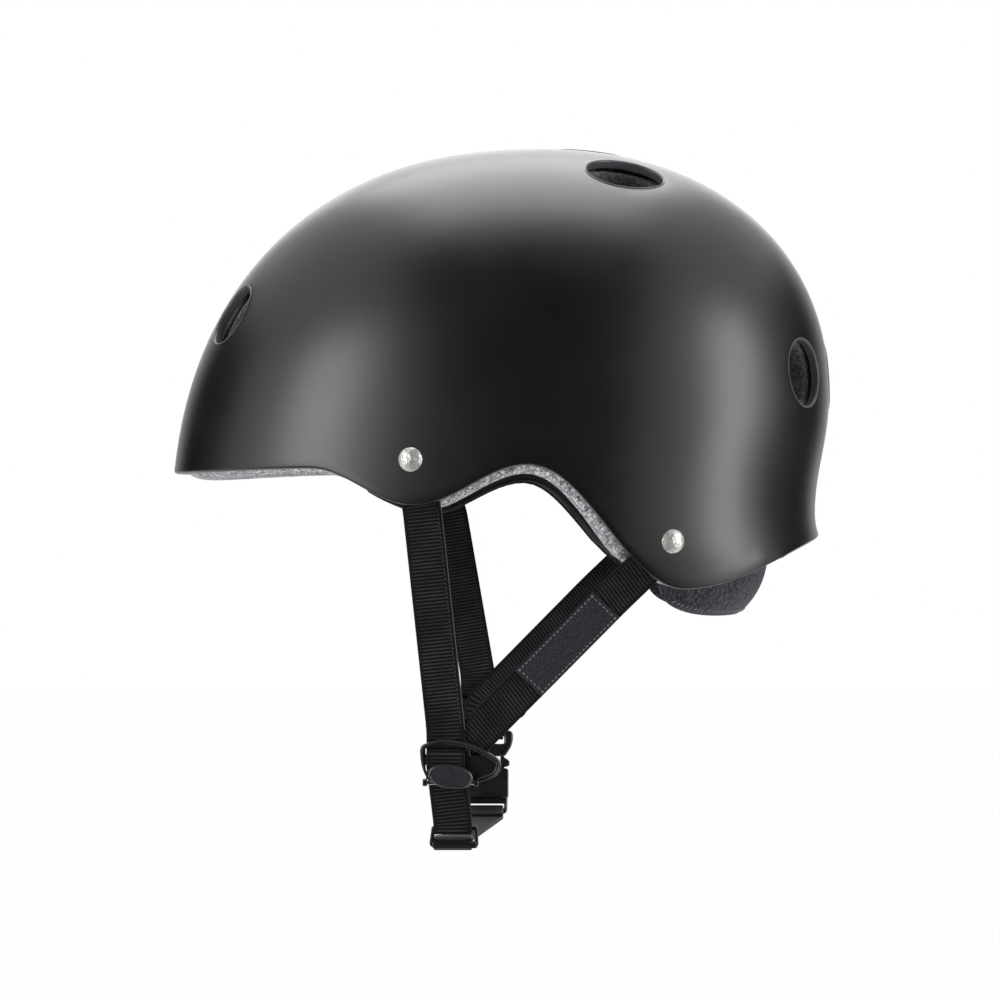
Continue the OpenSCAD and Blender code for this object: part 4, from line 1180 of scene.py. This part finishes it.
def divider_frame(side, y, z, node):
    """Flat frame with two slots for the web, a rim round it and ears for the lever's pin"""
    slot_half = WEB_W / 2 + WEB_SLIP
    windows = [
        box_outline(SLOT_SHIFT - slot_half, SLOT_SHIFT + slot_half, *SLOT_TOP, 0.9),
        box_outline(SLOT_SHIFT - slot_half, SLOT_SHIFT + slot_half, *SLOT_LOW, 0.9),
        box_outline(SLOT_SHIFT + slot_half + 1.7, SLOT_SHIFT + slot_half + 6.7, *SLOT_TOP, 0.9),
    ]
    # The rim sinks to the frame's face near the foot, where the lever's edge comes down as it opens
    rim = [(px, py, 0.75 - 0.4 * min(max((-4 - py) / 3, 0), 1)) for px, py in divider_border(0.6)]
    step = [(px, py, 0.9) for px, py in divider_border(1.75)[20:58]]
    edging = [tube("rim", rim, 0.65, closed=True, sides=12), tube("step", step, 0.35)]
    spot = (y, z, 0, side)
    # The rim and the step are made in the lighter acetal: a painted highlight along the frame's edge
    fitted(node + "_edging", edging, spot, "helmet", LIT_ACETAL_FINISH)
    parts = [plate([divider_border()] + windows, DIVIDER_T, 0.45)]
    ear_t, top = 1.8, LEVER_PIN_N + 1.4
    for s in (-1, 1):
        border = rounded_outline([(-1.4, 0), (1.4, 0), (1.4, top), (-1.4, top)], [0.3, 0.3, 1.4, 1.4])
        ear = plate([border], ear_t, 0.35)
        ear.data.transform(Matrix(((0, 0, 1, 0), (1, 0, 0, 0), (0, 1, 0, 0), (0, 0, 0, 1))))
        parts.append(moved(ear, LEVER_SHIFT + s * (LEVER_LEN / 2 + 0.3 + ear_t / 2), LEVER_PIN_Z))
    fitted(node + "_moulding", parts, spot, "helmet", HARD_FINISH, node)


def divider_lever(side, y, z, body, node):
    """Oval cam lever with a rim and the barrel that it turns on"""
    barrel_d = PIN_D + 2.4
    middle = LEVER_PIN_Z - barrel_d / 2 + LEVER_H / 2
    face = plate([oval(LEVER_LEN, LEVER_H, 0.9, LEVER_TILT)], LEVER_T, 0.8, LEVER_T / 2)
    rim_line = oval(LEVER_LEN - 1.5, LEVER_H - 1.5, 0.9, LEVER_TILT)
    rim = tube("rim", [(px, py, LEVER_T - 0.1) for px, py in rim_line], 0.4, closed=True)
    barrel = plate([oval(barrel_d - 0.4, barrel_d - 0.4, 1.0)], 9, 0.4)
    barrel.data.transform(Matrix(((0, 0, 1, 0), (0, 1, 0, 0), (-1, 0, 0, 0), (0, 0, 0, 1))))
    parts = [moved(part, LEVER_SHIFT, middle, LEVER_N) for part in (face, rim)]
    parts.append(moved(barrel, LEVER_SHIFT, LEVER_PIN_Z, LEVER_PIN_N))
    # The lever is made in the lighter acetal: a painted highlight on its face
    fitted(node + "_moulding", parts, (y, z, 0, side), body, LIT_ACETAL_FINISH, node)


def chin_ring():
    """Moulded loop with a wide lower bar whose front lip covers the strap's fold"""
    half = WEB_W / 2 + WEB_SLIP
    rise, bar = RING_GAP / 2, RING_BAR_D
    border = rounded_outline([
        (-half - 1.2, rise + bar / 2), (-half - 2.4, -rise - 1.4), (half + 1.6, -rise - 1.4),
        (half + 1.2, rise + bar / 2),
    ], [0.9, 2.2, 1.8, 0.9])
    window = box_outline(-half, half, -rise + 1.2, rise - bar / 2, 0.7)
    lip_n = bar / 2 + RING_WRAP + 0.65
    front = box_outline(-half - 1, half + 0.8, -rise - 1.2, -rise + 1.4, 1.1)
    parts = [
        plate([border, window], bar, 0.55),
        tube("lip", [(x, -rise + 0.2, lip_n) for x in np.linspace(-half - 0.6, half, 24)], 0.4),
        plate([front], 1.2, 0.4, RING_WRAP + WEB_T / 2 + 0.5),
    ]
    for s in (-1, 1):
        cheek = box_outline(-0.5, 0.5, -rise - 1.1, -rise + 1.3, 0.3)
        parts.append(moved(plate([cheek], RING_WRAP + 1.6, 0.2, RING_WRAP / 2 + 0.6), s * (half + 0.4)))
    fitted("chin_ring_moulding", parts, (RING_Y + 0.8, RING_Z, RING_N, 1), "helmet", HARD_FINISH, "chin_ring")


BUCKLE_SPOT = (BUCKLE_Y, BUCKLE_Z, BUCKLE_N, -1)


def buckle_plug():
    """Male half of the buckle: web loop, base and centre guide"""
    half = (WEB_W + 9) / 2
    base_low = 5.6
    top = PLUG_BAR_V + BUCKLE_BAR_D / 2
    window_low = PLUG_BAR_V - BUCKLE_BAR_D / 2 - 3.6
    web_half = WEB_W / 2 + WEB_SLIP
    border = rounded_outline([
        (-half, top), (-half, window_low), (-half + 3.6, base_low), (half - 3.6, base_low),
        (half, window_low), (half, top),
    ], [2.6, 3.5, 1.2, 1.2, 3.5, 2.6])
    window = box_outline(-web_half, web_half, window_low, PLUG_BAR_V - BUCKLE_BAR_D / 2 + 0.3, 0.9)
    guide = box_outline(-1.6, 1.6, -PLUG_REACH + 1.5, base_low + 0.8, 0.5)
    parts = [plate([border, window], PLUG_T, 0.9), plate([guide], PLUG_T, 0.4)]
    for k in (-1, 0, 1):
        grip = [(x, 10.4 + 0.9 * k, PLUG_T / 2 - 0.1) for x in np.linspace(-5, 5, 12)]
        parts.append(tube("grip", grip, 0.28))
    fitted("buckle_plug_moulding", parts, BUCKLE_SPOT, "helmet", HARD_FINISH, "buckle_plug")


def buckle_prong(s, body, node):
    """Spring prong with a thumb lobe outside the mouth and a barb behind the socket's wall"""
    outer = SOCKET_W / 2 - 1.9
    inner, lobe = outer - 1.9, SOCKET_W / 2 + 0.5
    tip, barb = -PLUG_REACH + 1.6, -PLUG_REACH / 2
    border = rounded_outline([
        (inner, 7.6), (inner, tip), (inner + 0.8, tip - 0.8), (outer + 0.2, tip - 0.2),
        (outer + 1.1, barb), (outer, barb), (outer, 0.6), (lobe, 1.2), (lobe, 3.6), (outer - 0.1, 5),
        (outer - 0.1, 8.3), (inner + 0.3, 8.7),
    ], [0.2, 0.3, 0.5, 0.8, 0.3, 0.1, 0.2, 0.8, 1.2, 0.6, 0.8, 0.6], 4)
    border = [(s * x, y) for x, y in border][::s]
    fitted(node + "_moulding", [plate([border], PLUG_T, 0.4)], BUCKLE_SPOT, body, HARD_FINISH, node)


def buckle_socket():
    """Female half of the buckle: a mouth, side windows for the barbs and a bar for the strap"""
    half = SOCKET_W / 2
    web_half = WEB_W / 2 + WEB_SLIP
    low_half = web_half + 1.4
    bar_top = -SOCKET_LEN + BUCKLE_BAR_D
    wall, depth = 1.6, 8
    tail = rounded_outline([
        (-half + 0.3, -PLUG_REACH + 1), (-low_half, -SOCKET_LEN), (low_half, -SOCKET_LEN),
        (half - 0.3, -PLUG_REACH + 1),
    ], [0.5, 2.4, 2.4, 0.5])
    parts = [plate([tail, box_outline(-web_half, web_half, bar_top, bar_top + 2.2)], BUCKLE_BAR_D, 0.8)]
    face = rounded_outline([
        (-half, 0), (-half, -PLUG_REACH - 1), (half, -PLUG_REACH - 1), (half, 0), (4.6, 0), (3.4, -2.4),
        (-3.4, -2.4), (-4.6, 0),
    ], [1.8, 1.4, 1.4, 1.8, 0.8, 1.6, 1.6, 0.8])
    parts += [plate([face], wall, 0.6, s * (depth - wall) / 2) for s in (-1, 1)]
    for s in (-1, 1):
        for low, high in ((-5.6, -0.6), (-PLUG_REACH - 0.6, -10.6)):
            x = s * (half - wall / 2)
            parts.append(plate([box_outline(x - 0.8, x + 0.8, low, high, 0.4)], depth - 1, 0.3))
    foot = box_outline(-half + 0.4, half - 0.4, -PLUG_REACH - 0.8, -PLUG_REACH + 0.2, 0.4)
    parts.append(plate([foot], depth - 1, 0.3))
    for s in (-1, 1):
        arch = [(x, -4.2 - 2.2 * (1 - (x / 7.2) ** 2), s * depth / 2) for x in np.linspace(-7.2, 7.2, 24)]
        parts.append(tube("arch", arch, 0.35))
    fitted("buckle_socket_moulding", parts, BUCKLE_SPOT, "buckle_release", HARD_FINISH, "buckle_socket")


# ---------------------------------------------------------------- chin strap

def chin_fold(bar, toward, radius, middle):
    way = unit([toward[0] - bar[0], 0, toward[2] - bar[2]])
    up = np.array([-way[2], 0, way[0]]) * np.sign(way[0])
    lap = bar + way * CHIN_LAP
    low = up * (WEB_T + 0.05) / 2
    return [
        (lap + low, LEVEL, 0), (bar + way * 2.5 * radius + up * radius, LEVEL, 2),
        (bar - way * radius + up * radius, LEVEL, radius), (bar - way * radius - up * radius, LEVEL, radius),
        (bar + way * 2.5 * radius - up * radius, LEVEL, 2), (lap - low, LEVEL, 2), (middle - low, LEVEL, 12),
    ]


def chin_strap():
    """One length from the ring to the buckle, folded back and sewn at both ends"""
    ring_end = on_plane(RING_Y, RING_Z - RING_GAP / 2, RING_N)
    socket_end = on_plane(BUCKLE_Y, BUCKLE_Z - SOCKET_LEN + BUCKLE_BAR_D / 2, BUCKLE_N) * [-1, 1, 1]
    middle = (ring_end + socket_end) / 2
    first = chin_fold(ring_end, socket_end, RING_WRAP, middle)
    second = chin_fold(socket_end, ring_end, BUCKLE_WRAP, middle)
    joint = (first[-1][0] + second[-1][0]) / 2
    stations = first[:-1] + [(joint, LEVEL, 20)] + second[-2::-1]
    piece = web_piece("chin_strap_weave", rounded(stations), WEB_W, WEB_T)
    piece.data.materials.append(WEB_FINISH)
    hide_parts("chin_strap", "chin_strap_end")
    start, end = (tuple((ring_end + (socket_end - ring_end) * share) * MM) for share in (0.35, 0.72))
    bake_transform(piece)
    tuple(start)
    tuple(end)
    return ring_end, socket_end


# ---------------------------------------------------------------- what repeats

ALIGN, TURN = "FunctionNodeAlignRotationToVector", "FunctionNodeRotateRotation"


def group_tree(name, inputs):
    """An empty Geometry Nodes tree with named inputs, and the keys that a modifier knows them by"""
    tree = bpy.data.node_groups.new(name, "GeometryNodeTree")
    tree.interface.new_socket("Geometry", in_out="INPUT", socket_type="NodeSocketGeometry")
    keys = {}
    for label, kind in inputs:
        socket = tree.interface.new_socket(label, in_out="INPUT", socket_type="NodeSocket" + kind)
        keys[label] = socket.identifier
    tree.interface.new_socket("Geometry", in_out="OUTPUT", socket_type="NodeSocketGeometry")
    return tree, tree.nodes.new("NodeGroupInput").outputs, keys


def standing(tree, angle):
    """Rotation that stands a copy on its facing attribute and then turns it by an angle"""
    facing = add_node(tree, "GeometryNodeInputNamedAttribute", {"Name": "facing"}, data_type="FLOAT_VECTOR")
    upright = add_node(tree, ALIGN, {"Vector": facing}, axis="Z")
    spin = add_node(tree, "FunctionNodeEulerToRotation", {0: add_node(tree, "ShaderNodeCombineXYZ", {2: angle})})
    return upright, spin


def dressed(tree, points, form, rotation, scale, material, smooth):
    """Copies of a form on points, made real and given their material"""
    copies = add_node(tree, "GeometryNodeInstanceOnPoints", {
        "Points": points, "Instance": form, "Rotation": rotation, "Scale": scale,
    })
    real = add_node(tree, "GeometryNodeRealizeInstances", {0: copies})
    if smooth:
        real = add_node(tree, "GeometryNodeSetShadeSmooth", {"Geometry": real})
    done = add_node(tree, "GeometryNodeSetMaterial", {"Geometry": real, "Material": material})
    add_node(tree, "NodeGroupOutput", {"Geometry": done})


def stitch_tree():
    """Stitches along a line, lying on the surface that its facing attribute gives"""
    tree, given, keys = group_tree("stitch_line", [
        ("Pitch", "Float"), ("Length", "Float"), ("Width", "Float"), ("Turn", "Float"),
        ("Material", "Material"),
    ])
    line = add_node(tree, "GeometryNodeMeshToCurve", {"Mesh": given["Geometry"]})
    spaced = add_node(
        tree, "GeometryNodeResampleCurve", {"Curve": line, "Length": given["Pitch"]}, mode="LENGTH")
    upright, spin = standing(tree, given["Turn"])
    tangent = add_node(tree, "GeometryNodeInputTangent")
    laid = add_node(tree, ALIGN, {"Rotation": upright, "Vector": tangent}, axis="X", pivot_axis="Z")
    turned = add_node(tree, TURN, {"Rotation": laid, "Rotate By": spin}, rotation_space="LOCAL")
    thread = add_node(tree, "GeometryNodeMeshUVSphere", {"Segments": 8, "Rings": 6, "Radius": 0.5})
    size = add_node(tree, "ShaderNodeCombineXYZ", {0: given["Length"], 1: given["Width"], 2: given["Width"]})
    dressed(tree, spaced, thread, turned, size, given["Material"], True)
    return tree, keys


def stud_tree():
    """Copies of one form, standing on points along their facing attribute, each turned a bit more"""
    tree, given, keys = group_tree("stud_set", [
        ("Stud", "Object"), ("Seed Turn", "Float"), ("Material", "Material"),
    ])
    spots = add_node(tree, "GeometryNodeMeshToPoints", {"Mesh": given["Geometry"]})
    form = add_node(tree, "GeometryNodeObjectInfo", {"Object": given["Stud"]}, "Geometry")
    number = add_node(tree, "GeometryNodeInputIndex")
    angle = add_node(tree, MATHS, {0: number, 1: given["Seed Turn"]}, operation="MULTIPLY")
    upright, spin = standing(tree, angle)
    turned = add_node(tree, TURN, {"Rotation": upright, "Rotate By": spin}, rotation_space="LOCAL")
    dressed(tree, spots, form, turned, (1, 1, 1), given["Material"], False)
    return tree, keys


STITCH_TREE, STITCH_KEYS = stitch_tree()
STUD_TREE, STUD_KEYS = stud_tree()


def grown(name, lines, facing, tree, keys, **values):
    """Copies that a tree puts on lines of points: joined up for stitches, bare for studs"""
    mesh = bpy.data.meshes.new(name)
    edges, flat = [], []
    for line in lines:
        start = len(flat)
        flat.extend(line)
        if tree == STITCH_TREE:
            edges.extend((start + i, start + i + 1) for i in range(len(line) - 1))
    mesh.from_pydata([tuple(float(c) * MM for c in p) for p in flat], edges, [])
    ways = np.array([w for line in facing for w in line], np.float32)
    mesh.attributes.new("facing", "FLOAT_VECTOR", "POINT").data.foreach_set("vector", ways.ravel())
    holder = shown(name, mesh)
    modifier = holder.modifiers.new("grow", "NODES")
    modifier.node_group = tree
    for label, value in values.items():
        modifier[keys[label.replace("_", " ")]] = value
    return tidy_mesh(frozen(holder), 1e-8)


def stitches(name, lines, facing, pitch, length, width, thread, slot, body="helmet", turn=0.0):
    piece = grown(
        name, lines, facing, STITCH_TREE, STITCH_KEYS,
        Pitch=pitch * MM, Length=length * MM, Width=width * MM, Turn=turn, Material=thread)
    settle(smoothed(piece), body, slot, thread)


def studs(name, points, facing, master, finish):
    """Copies of a master object, which goes once they are made"""
    piece = grown(
        name, [points], [facing], STUD_TREE, STUD_KEYS, Stud=master, Seed_Turn=1.7, Material=finish)
    bpy.data.objects.remove(master)
    return piece


def rivet_form():
    """Domed rivet: hammered head, shank and set flange, standing on the skin"""
    seat, grip = 0.35, 6.8
    shank, flange = 2.3, 4.0
    dome = (RIVET_D ** 2 / 4 + RIVET_H ** 2) / (2 * RIVET_H)
    profile = [(0.0, RIVET_H - seat)]
    for k in range(1, 13):
        r = RIVET_D / 2 * k / 12 - 0.05
        profile.append((r, RIVET_H - seat - dome + math.sqrt(dome ** 2 - r ** 2)))
    profile += [(RIVET_D / 2, -0.1), (RIVET_D / 2 - 0.1, -seat), (shank, -seat), (shank, -grip)]
    profile += [(flange, -grip), (flange, -grip - 0.7), (flange - 0.3, -grip - 1.0), (0.0, -grip - 1.0)]
    form = Form()
    sides = 48
    rings = []
    for r, z in profile[1:-1]:
        ring = []
        for k in range(sides):
            a = 2 * math.pi * k / sides
            dent = 0.0
            if z > 0.2:
                dent = 0.09 * math.sin(3.1 * r + 2.3 * a) * math.sin(2.7 * a + 1.9 * r)
                dent *= math.sin(2 * math.pi * r / RIVET_D)
            ring.append((r * math.cos(a), r * math.sin(a), z + dent))
        rings.append(form.add(ring))
    form.strip(rings, flip=True)
    form.fan(rings[0], (0, 0, profile[0][1]))
    form.fan(rings[-1], (0, 0, profile[-1][1]), flip=True)
    return smoothed(form.piece("rivet_master"), 40)


def rivets():
    points = [skin_beside(*spot) * [side, 1, 1] for side in (1, -1) for spot in (RIVET_FRONT, RIVET_REAR)]
    ways = [skin_normal(p) for p in points]
    piece = studs("domed_rivets", points, ways, rivet_form(), RIVET_FINISH)
    settle(smoothed(piece, 40), "helmet", "rivet_nickel", RIVET_FINISH, "strap_rivets")


def fastener_dots():
    """Hook-and-loop dots between the liner and the pads"""
    spots = [
        (160, 20), (200, 20), (180, 26), (76, 20), (92, 26), (108, 20),
        (-76, 20), (-92, 26), (-108, 20), (18, 30), (-18, 30), (0, 36),
    ]
    dot_low, dot_t, dot_d = 1.52, 0.56, 16
    places = [skin(np.array(math.radians(angle)), np.array(float(z))) for angle, z in spots]
    places.append(leave_skin(np.array([[0, WIDEST_Y + 1, 60.0]]), np.array([0, 0, 1.0]), 0, 90)[0])
    ways = [skin_normal(p) for p in places]
    points = [p - (LINER_IN + dot_low - dot_t / 2) * n for p, n in zip(places, ways)]
    master = plate([oval(dot_d, dot_d, 1.0, 0, 48)], dot_t, 0.15)
    piece = studs("hook_and_loop_dots", points, ways, master, DOT_FINISH)
    settle(piece, "helmet", "dots", DOT_FINISH, "pad_fasteners")


def strap_seams(label):
    """Stitching along the front strap's rear edge and round the label"""
    knee, top = LEFT_STATIONS[3][0], LEFT_STATIONS[4][0]
    way = unit(top - knee)
    side = LEFT_STATIONS[3][1] * np.sign(LEFT_STATIONS[3][1][1])
    t = np.linspace(0.02, 0.97, 60)[:, None]
    line = knee + (top - knee) * t + side * (WEB_W / 2 - 1.6) + PLANE_OUT * (WEB_T / 2 + 0.02)
    stitches("front_strap_seam", [line], [[PLANE_OUT] * 60], 1.9, 1.25, 0.42, BLACK_THREAD, "webbing")
    start, way, side, out = label
    lift = out * (LABEL_T / 2 + 0.03)
    half = WEB_W / 2 - 1.5
    a, b, c, d = (
        start + way * run + side * s * half + lift for run in (1.6, LABEL_LEN - 1.6) for s in (-1, 1)
    )
    lines = [[p + (q - p) * k / 12 for k in range(13)] for p, q in ((a, b), (c, d), (a, c), (b, d))]
    stitches("label_seam", lines, [[out] * 13] * 4, 2.0, 1.4, 0.45, GREY_THREAD, "label_fabric")


def nape_seam():
    """Whip stitches along the nape pad's foot"""
    line, ways = [], []
    for a in np.linspace(-NAPE_HALF * 0.93, NAPE_HALF * 0.93, 160):
        section = nape_section(a, 64)
        k = 53
        p = section[k]
        out = np.cross(section[k + 1] - section[k - 1], nape_section(a + 0.01, 64)[k] - p)
        out = unit(out)
        if out @ [math.sin(a), math.cos(a), 0] < 0:
            out = -out
        line.append(p + out * 0.15)
        ways.append(out)
    lean = math.radians(75)
    stitches("nape_whip_seam", [line], [ways], 2.3, 2.1, 0.5, GREY_THREAD, "nape_fabric", turn=lean)


def chin_seams(ends):
    """Box stitching that closes the chin strap's folds"""
    for bar, toward, name, body in (
        (ends[0], ends[1], "ring_fold_seam", "helmet"),
        (ends[1], ends[0], "buckle_fold_seam", "buckle_release"),
    ):
        way = unit([toward[0] - bar[0], 0, toward[2] - bar[2]])
        up = np.array([-way[2], 0, way[0]]) * np.sign(way[0])
        lines, faces = [], []
        for face in (1, -1):
            lift = up * face * (WEB_T + 0.05)
            corners = [
                bar + way * run + LEVEL * s * (WEB_W / 2 - 2.2) + lift
                for run, s in ((12, -1), (CHIN_LAP - 1.5, -1), (CHIN_LAP - 1.5, 1), (12, 1), (12, -1))
            ]
            corners += [corners[2], corners[3], corners[1]]
            for a, b in zip(corners, corners[1:]):
                lines.append([a + (b - a) * k / 6 for k in range(7)])
                faces.append([up * face] * 7)
        stitches(name, lines, faces, 2.0, 1.5, 0.45, BLACK_THREAD, "webbing", body)


# ---------------------------------------------------------------- the stage

def camera():
    """Level view from the wearer's left"""
    lens = bpy.data.cameras.new("side_view")
    lens.sensor_width = 36
    lens.lens = 36 * 3.426
    view = bpy.data.objects.new("side_view", lens)
    view.location = (1.5, 0, -0.0114)
    view.rotation_euler = (math.pi / 2, 0, math.pi / 2)
    bpy.context.scene.collection.objects.link(view)
    bpy.context.scene.camera = view


def softbox(name, toward, distance, size, power, aim=(0, 0, 0.03)):
    """Rectangular soft light that shines at the helmet from a direction"""
    lamp = bpy.data.lights.new(name, "AREA")
    lamp.shape = "RECTANGLE"
    lamp.size, lamp.size_y = size
    lamp.energy = power
    holder = bpy.data.objects.new(name, lamp)
    place = Vector(toward).normalized() * distance
    holder.location = place + Vector(aim)
    holder.rotation_euler = (-place).to_track_quat("-Z", "Y").to_euler()
    bpy.context.scene.collection.objects.link(holder)
    return holder


def seen_directly(tree):
    """One for camera, glossy and transmission rays, and nought for the light that falls on things"""
    path = tree.nodes.new("ShaderNodeLightPath").outputs
    seen = add_node(
        tree, MATHS, {0: path["Is Camera Ray"], 1: path["Is Transmission Ray"]}, operation="MAXIMUM")
    return add_node(tree, MATHS, {0: seen, 1: path["Is Glossy Ray"]}, operation="MAXIMUM")


def sky():
    """White surroundings to the camera and in reflections, and an even pale fill on the object"""
    world = bpy.data.worlds.new("studio")
    bpy.context.scene.world = world
    tree = emptied(world)
    strength = add_node(tree, RANGE, {0: seen_directly(tree), 3: 0.55, 4: 1.0})
    light = add_node(tree, "ShaderNodeBackground", {"Color": "#ffffff", "Strength": strength})
    add_node(tree, "ShaderNodeOutputWorld", {"Surface": light})


def staged(name, points, faces, surface):
    """A stage piece whose material has this surface"""
    material = bpy.data.materials.new(name)
    tree = emptied(material)
    add_node(tree, "ShaderNodeOutputMaterial", {"Surface": surface(tree)})
    piece = mesh_object(name, points, faces, smooth=False)
    piece.data.materials.append(material)
    return piece


def floor():
    """Pale studio floor, white to the camera except where the helmet shades it"""
    def surface(tree):
        glow = add_node(tree, "ShaderNodeEmission", {"Color": "#ffffff", "Strength": 1.0})
        matt = add_node(tree, "ShaderNodeBsdfDiffuse", {"Color": "#f4f4f4"})
        share = add_node(tree, MATHS, {0: seen_directly(tree), 1: 0.985}, operation="MULTIPLY")
        return add_node(tree, "ShaderNodeMixShader", {0: share, 1: matt, 2: glow})

    far, level = 9000, -600
    corners = [(-far, -far, level), (far, -far, level), (far, far, level), (-far, far, level)]
    staged("studio_floor", corners, [(0, 1, 2, 3)], surface)


def flags():
    """Black cards seen only in reflections: they keep the shell's middle and its outer edges dark"""
    far, half, low = 2000, 1150, -580
    line = [(250, low - 10)]
    for elevation in range(-16, 77, 6):
        line.append((far * math.cos(math.radians(elevation)), far * math.sin(math.radians(elevation))))
    points = [(x, y, z) for x, z in line for y in (-half, half)]
    faces = [(2 * i, 2 * i + 1, 2 * i + 3, 2 * i + 2) for i in range(len(line) - 1)]
    for side in (-1, 1):
        start = len(points)
        points += [(-150, side * 1900, low), (-1500, side * 1100, low),
                   (-1500, side * 1100, 900), (-150, side * 1900, 900)]
        faces.append((start, start + 1, start + 2, start + 3))

    def surface(tree):
        return add_node(tree, "ShaderNodeBsdfDiffuse", {"Color": "#000000"})

    cards = staged("black_cards", points, faces, surface)
    for ray in ("camera", "diffuse", "shadow", "transmission"):
        setattr(cards, "visible_" + ray, False)


def lights():
    softbox("overhead", (-0.4, 0.0, 1.0), 1.5, (1.2, 1.6), 22)
    softbox("front_left", (0.57, -0.80, 0.12), 1.5, (0.5, 1.2), 13)
    softbox("rear_left", (0.32, 0.93, 0.12), 1.5, (0.5, 1.2), 13)
    softbox("far_side", (-1.0, 0.0, 0.3), 1.6, (1.2, 1.0), 6)


# ---------------------------------------------------------------- putting it together

camera()
sky()
floor()
flags()
lights()

outer_shell()
strap_lines = [
    (1, [(LEFT_STATIONS[0][0], LEFT_STATIONS[4][0]), (LEFT_STATIONS[19][0], LEFT_STATIONS[15][0])]),
    (-1, [(RIGHT_STATIONS[0][0], RIGHT_STATIONS[4][0]), (RIGHT_STATIONS[19][0], RIGHT_STATIONS[15][0])]),
]
foam_liner(strap_lines)
comfort_pad("brow_comfort_pad", "brow_pad", (152, 208), above_liner(6), 38, (-0.35, 0.35))
comfort_pad("rear_comfort_pad", "rear_pad", (-30, 30), above_liner(30), 48, (-0.35, 0.35))
comfort_pad("left_comfort_pad", "left_side_pad", (62, 122), above_liner(-3), 46, (-0.4, 0.4))
comfort_pad("right_comfort_pad", "right_side_pad", (-62, -122), above_liner(-3), 46, (-0.4, 0.4))
crown_pad()
nape_pad()
harness_webbing()
label_place = label_patch()
strap_seams(label_place)
nape_seam()
for side, divider, letter in ((1, LEFT_DIVIDER, "left"), (-1, RIGHT_DIVIDER, "right")):
    divider_frame(side, *divider, letter + "_divider_frame")
    divider_lever(side, *divider, letter + "_lever", letter + "_divider_lever")
chin_ring()
buckle_plug()
buckle_prong(-1, "front_prong", "buckle_front_prong")
buckle_prong(1, "rear_prong", "buckle_rear_prong")
buckle_socket()
chin_seams(chin_strap())
rivets()
fastener_dots()
for node, finish in (
    ("rivet_washers", WASHER_FINISH), ("left_lever_pin", PIN_FINISH), ("right_lever_pin", PIN_FINISH),
):
    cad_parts[node].data.materials.clear()
    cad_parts[node].data.materials.append(finish)

bpy.context.scene.view_settings.view_transform = "Standard"
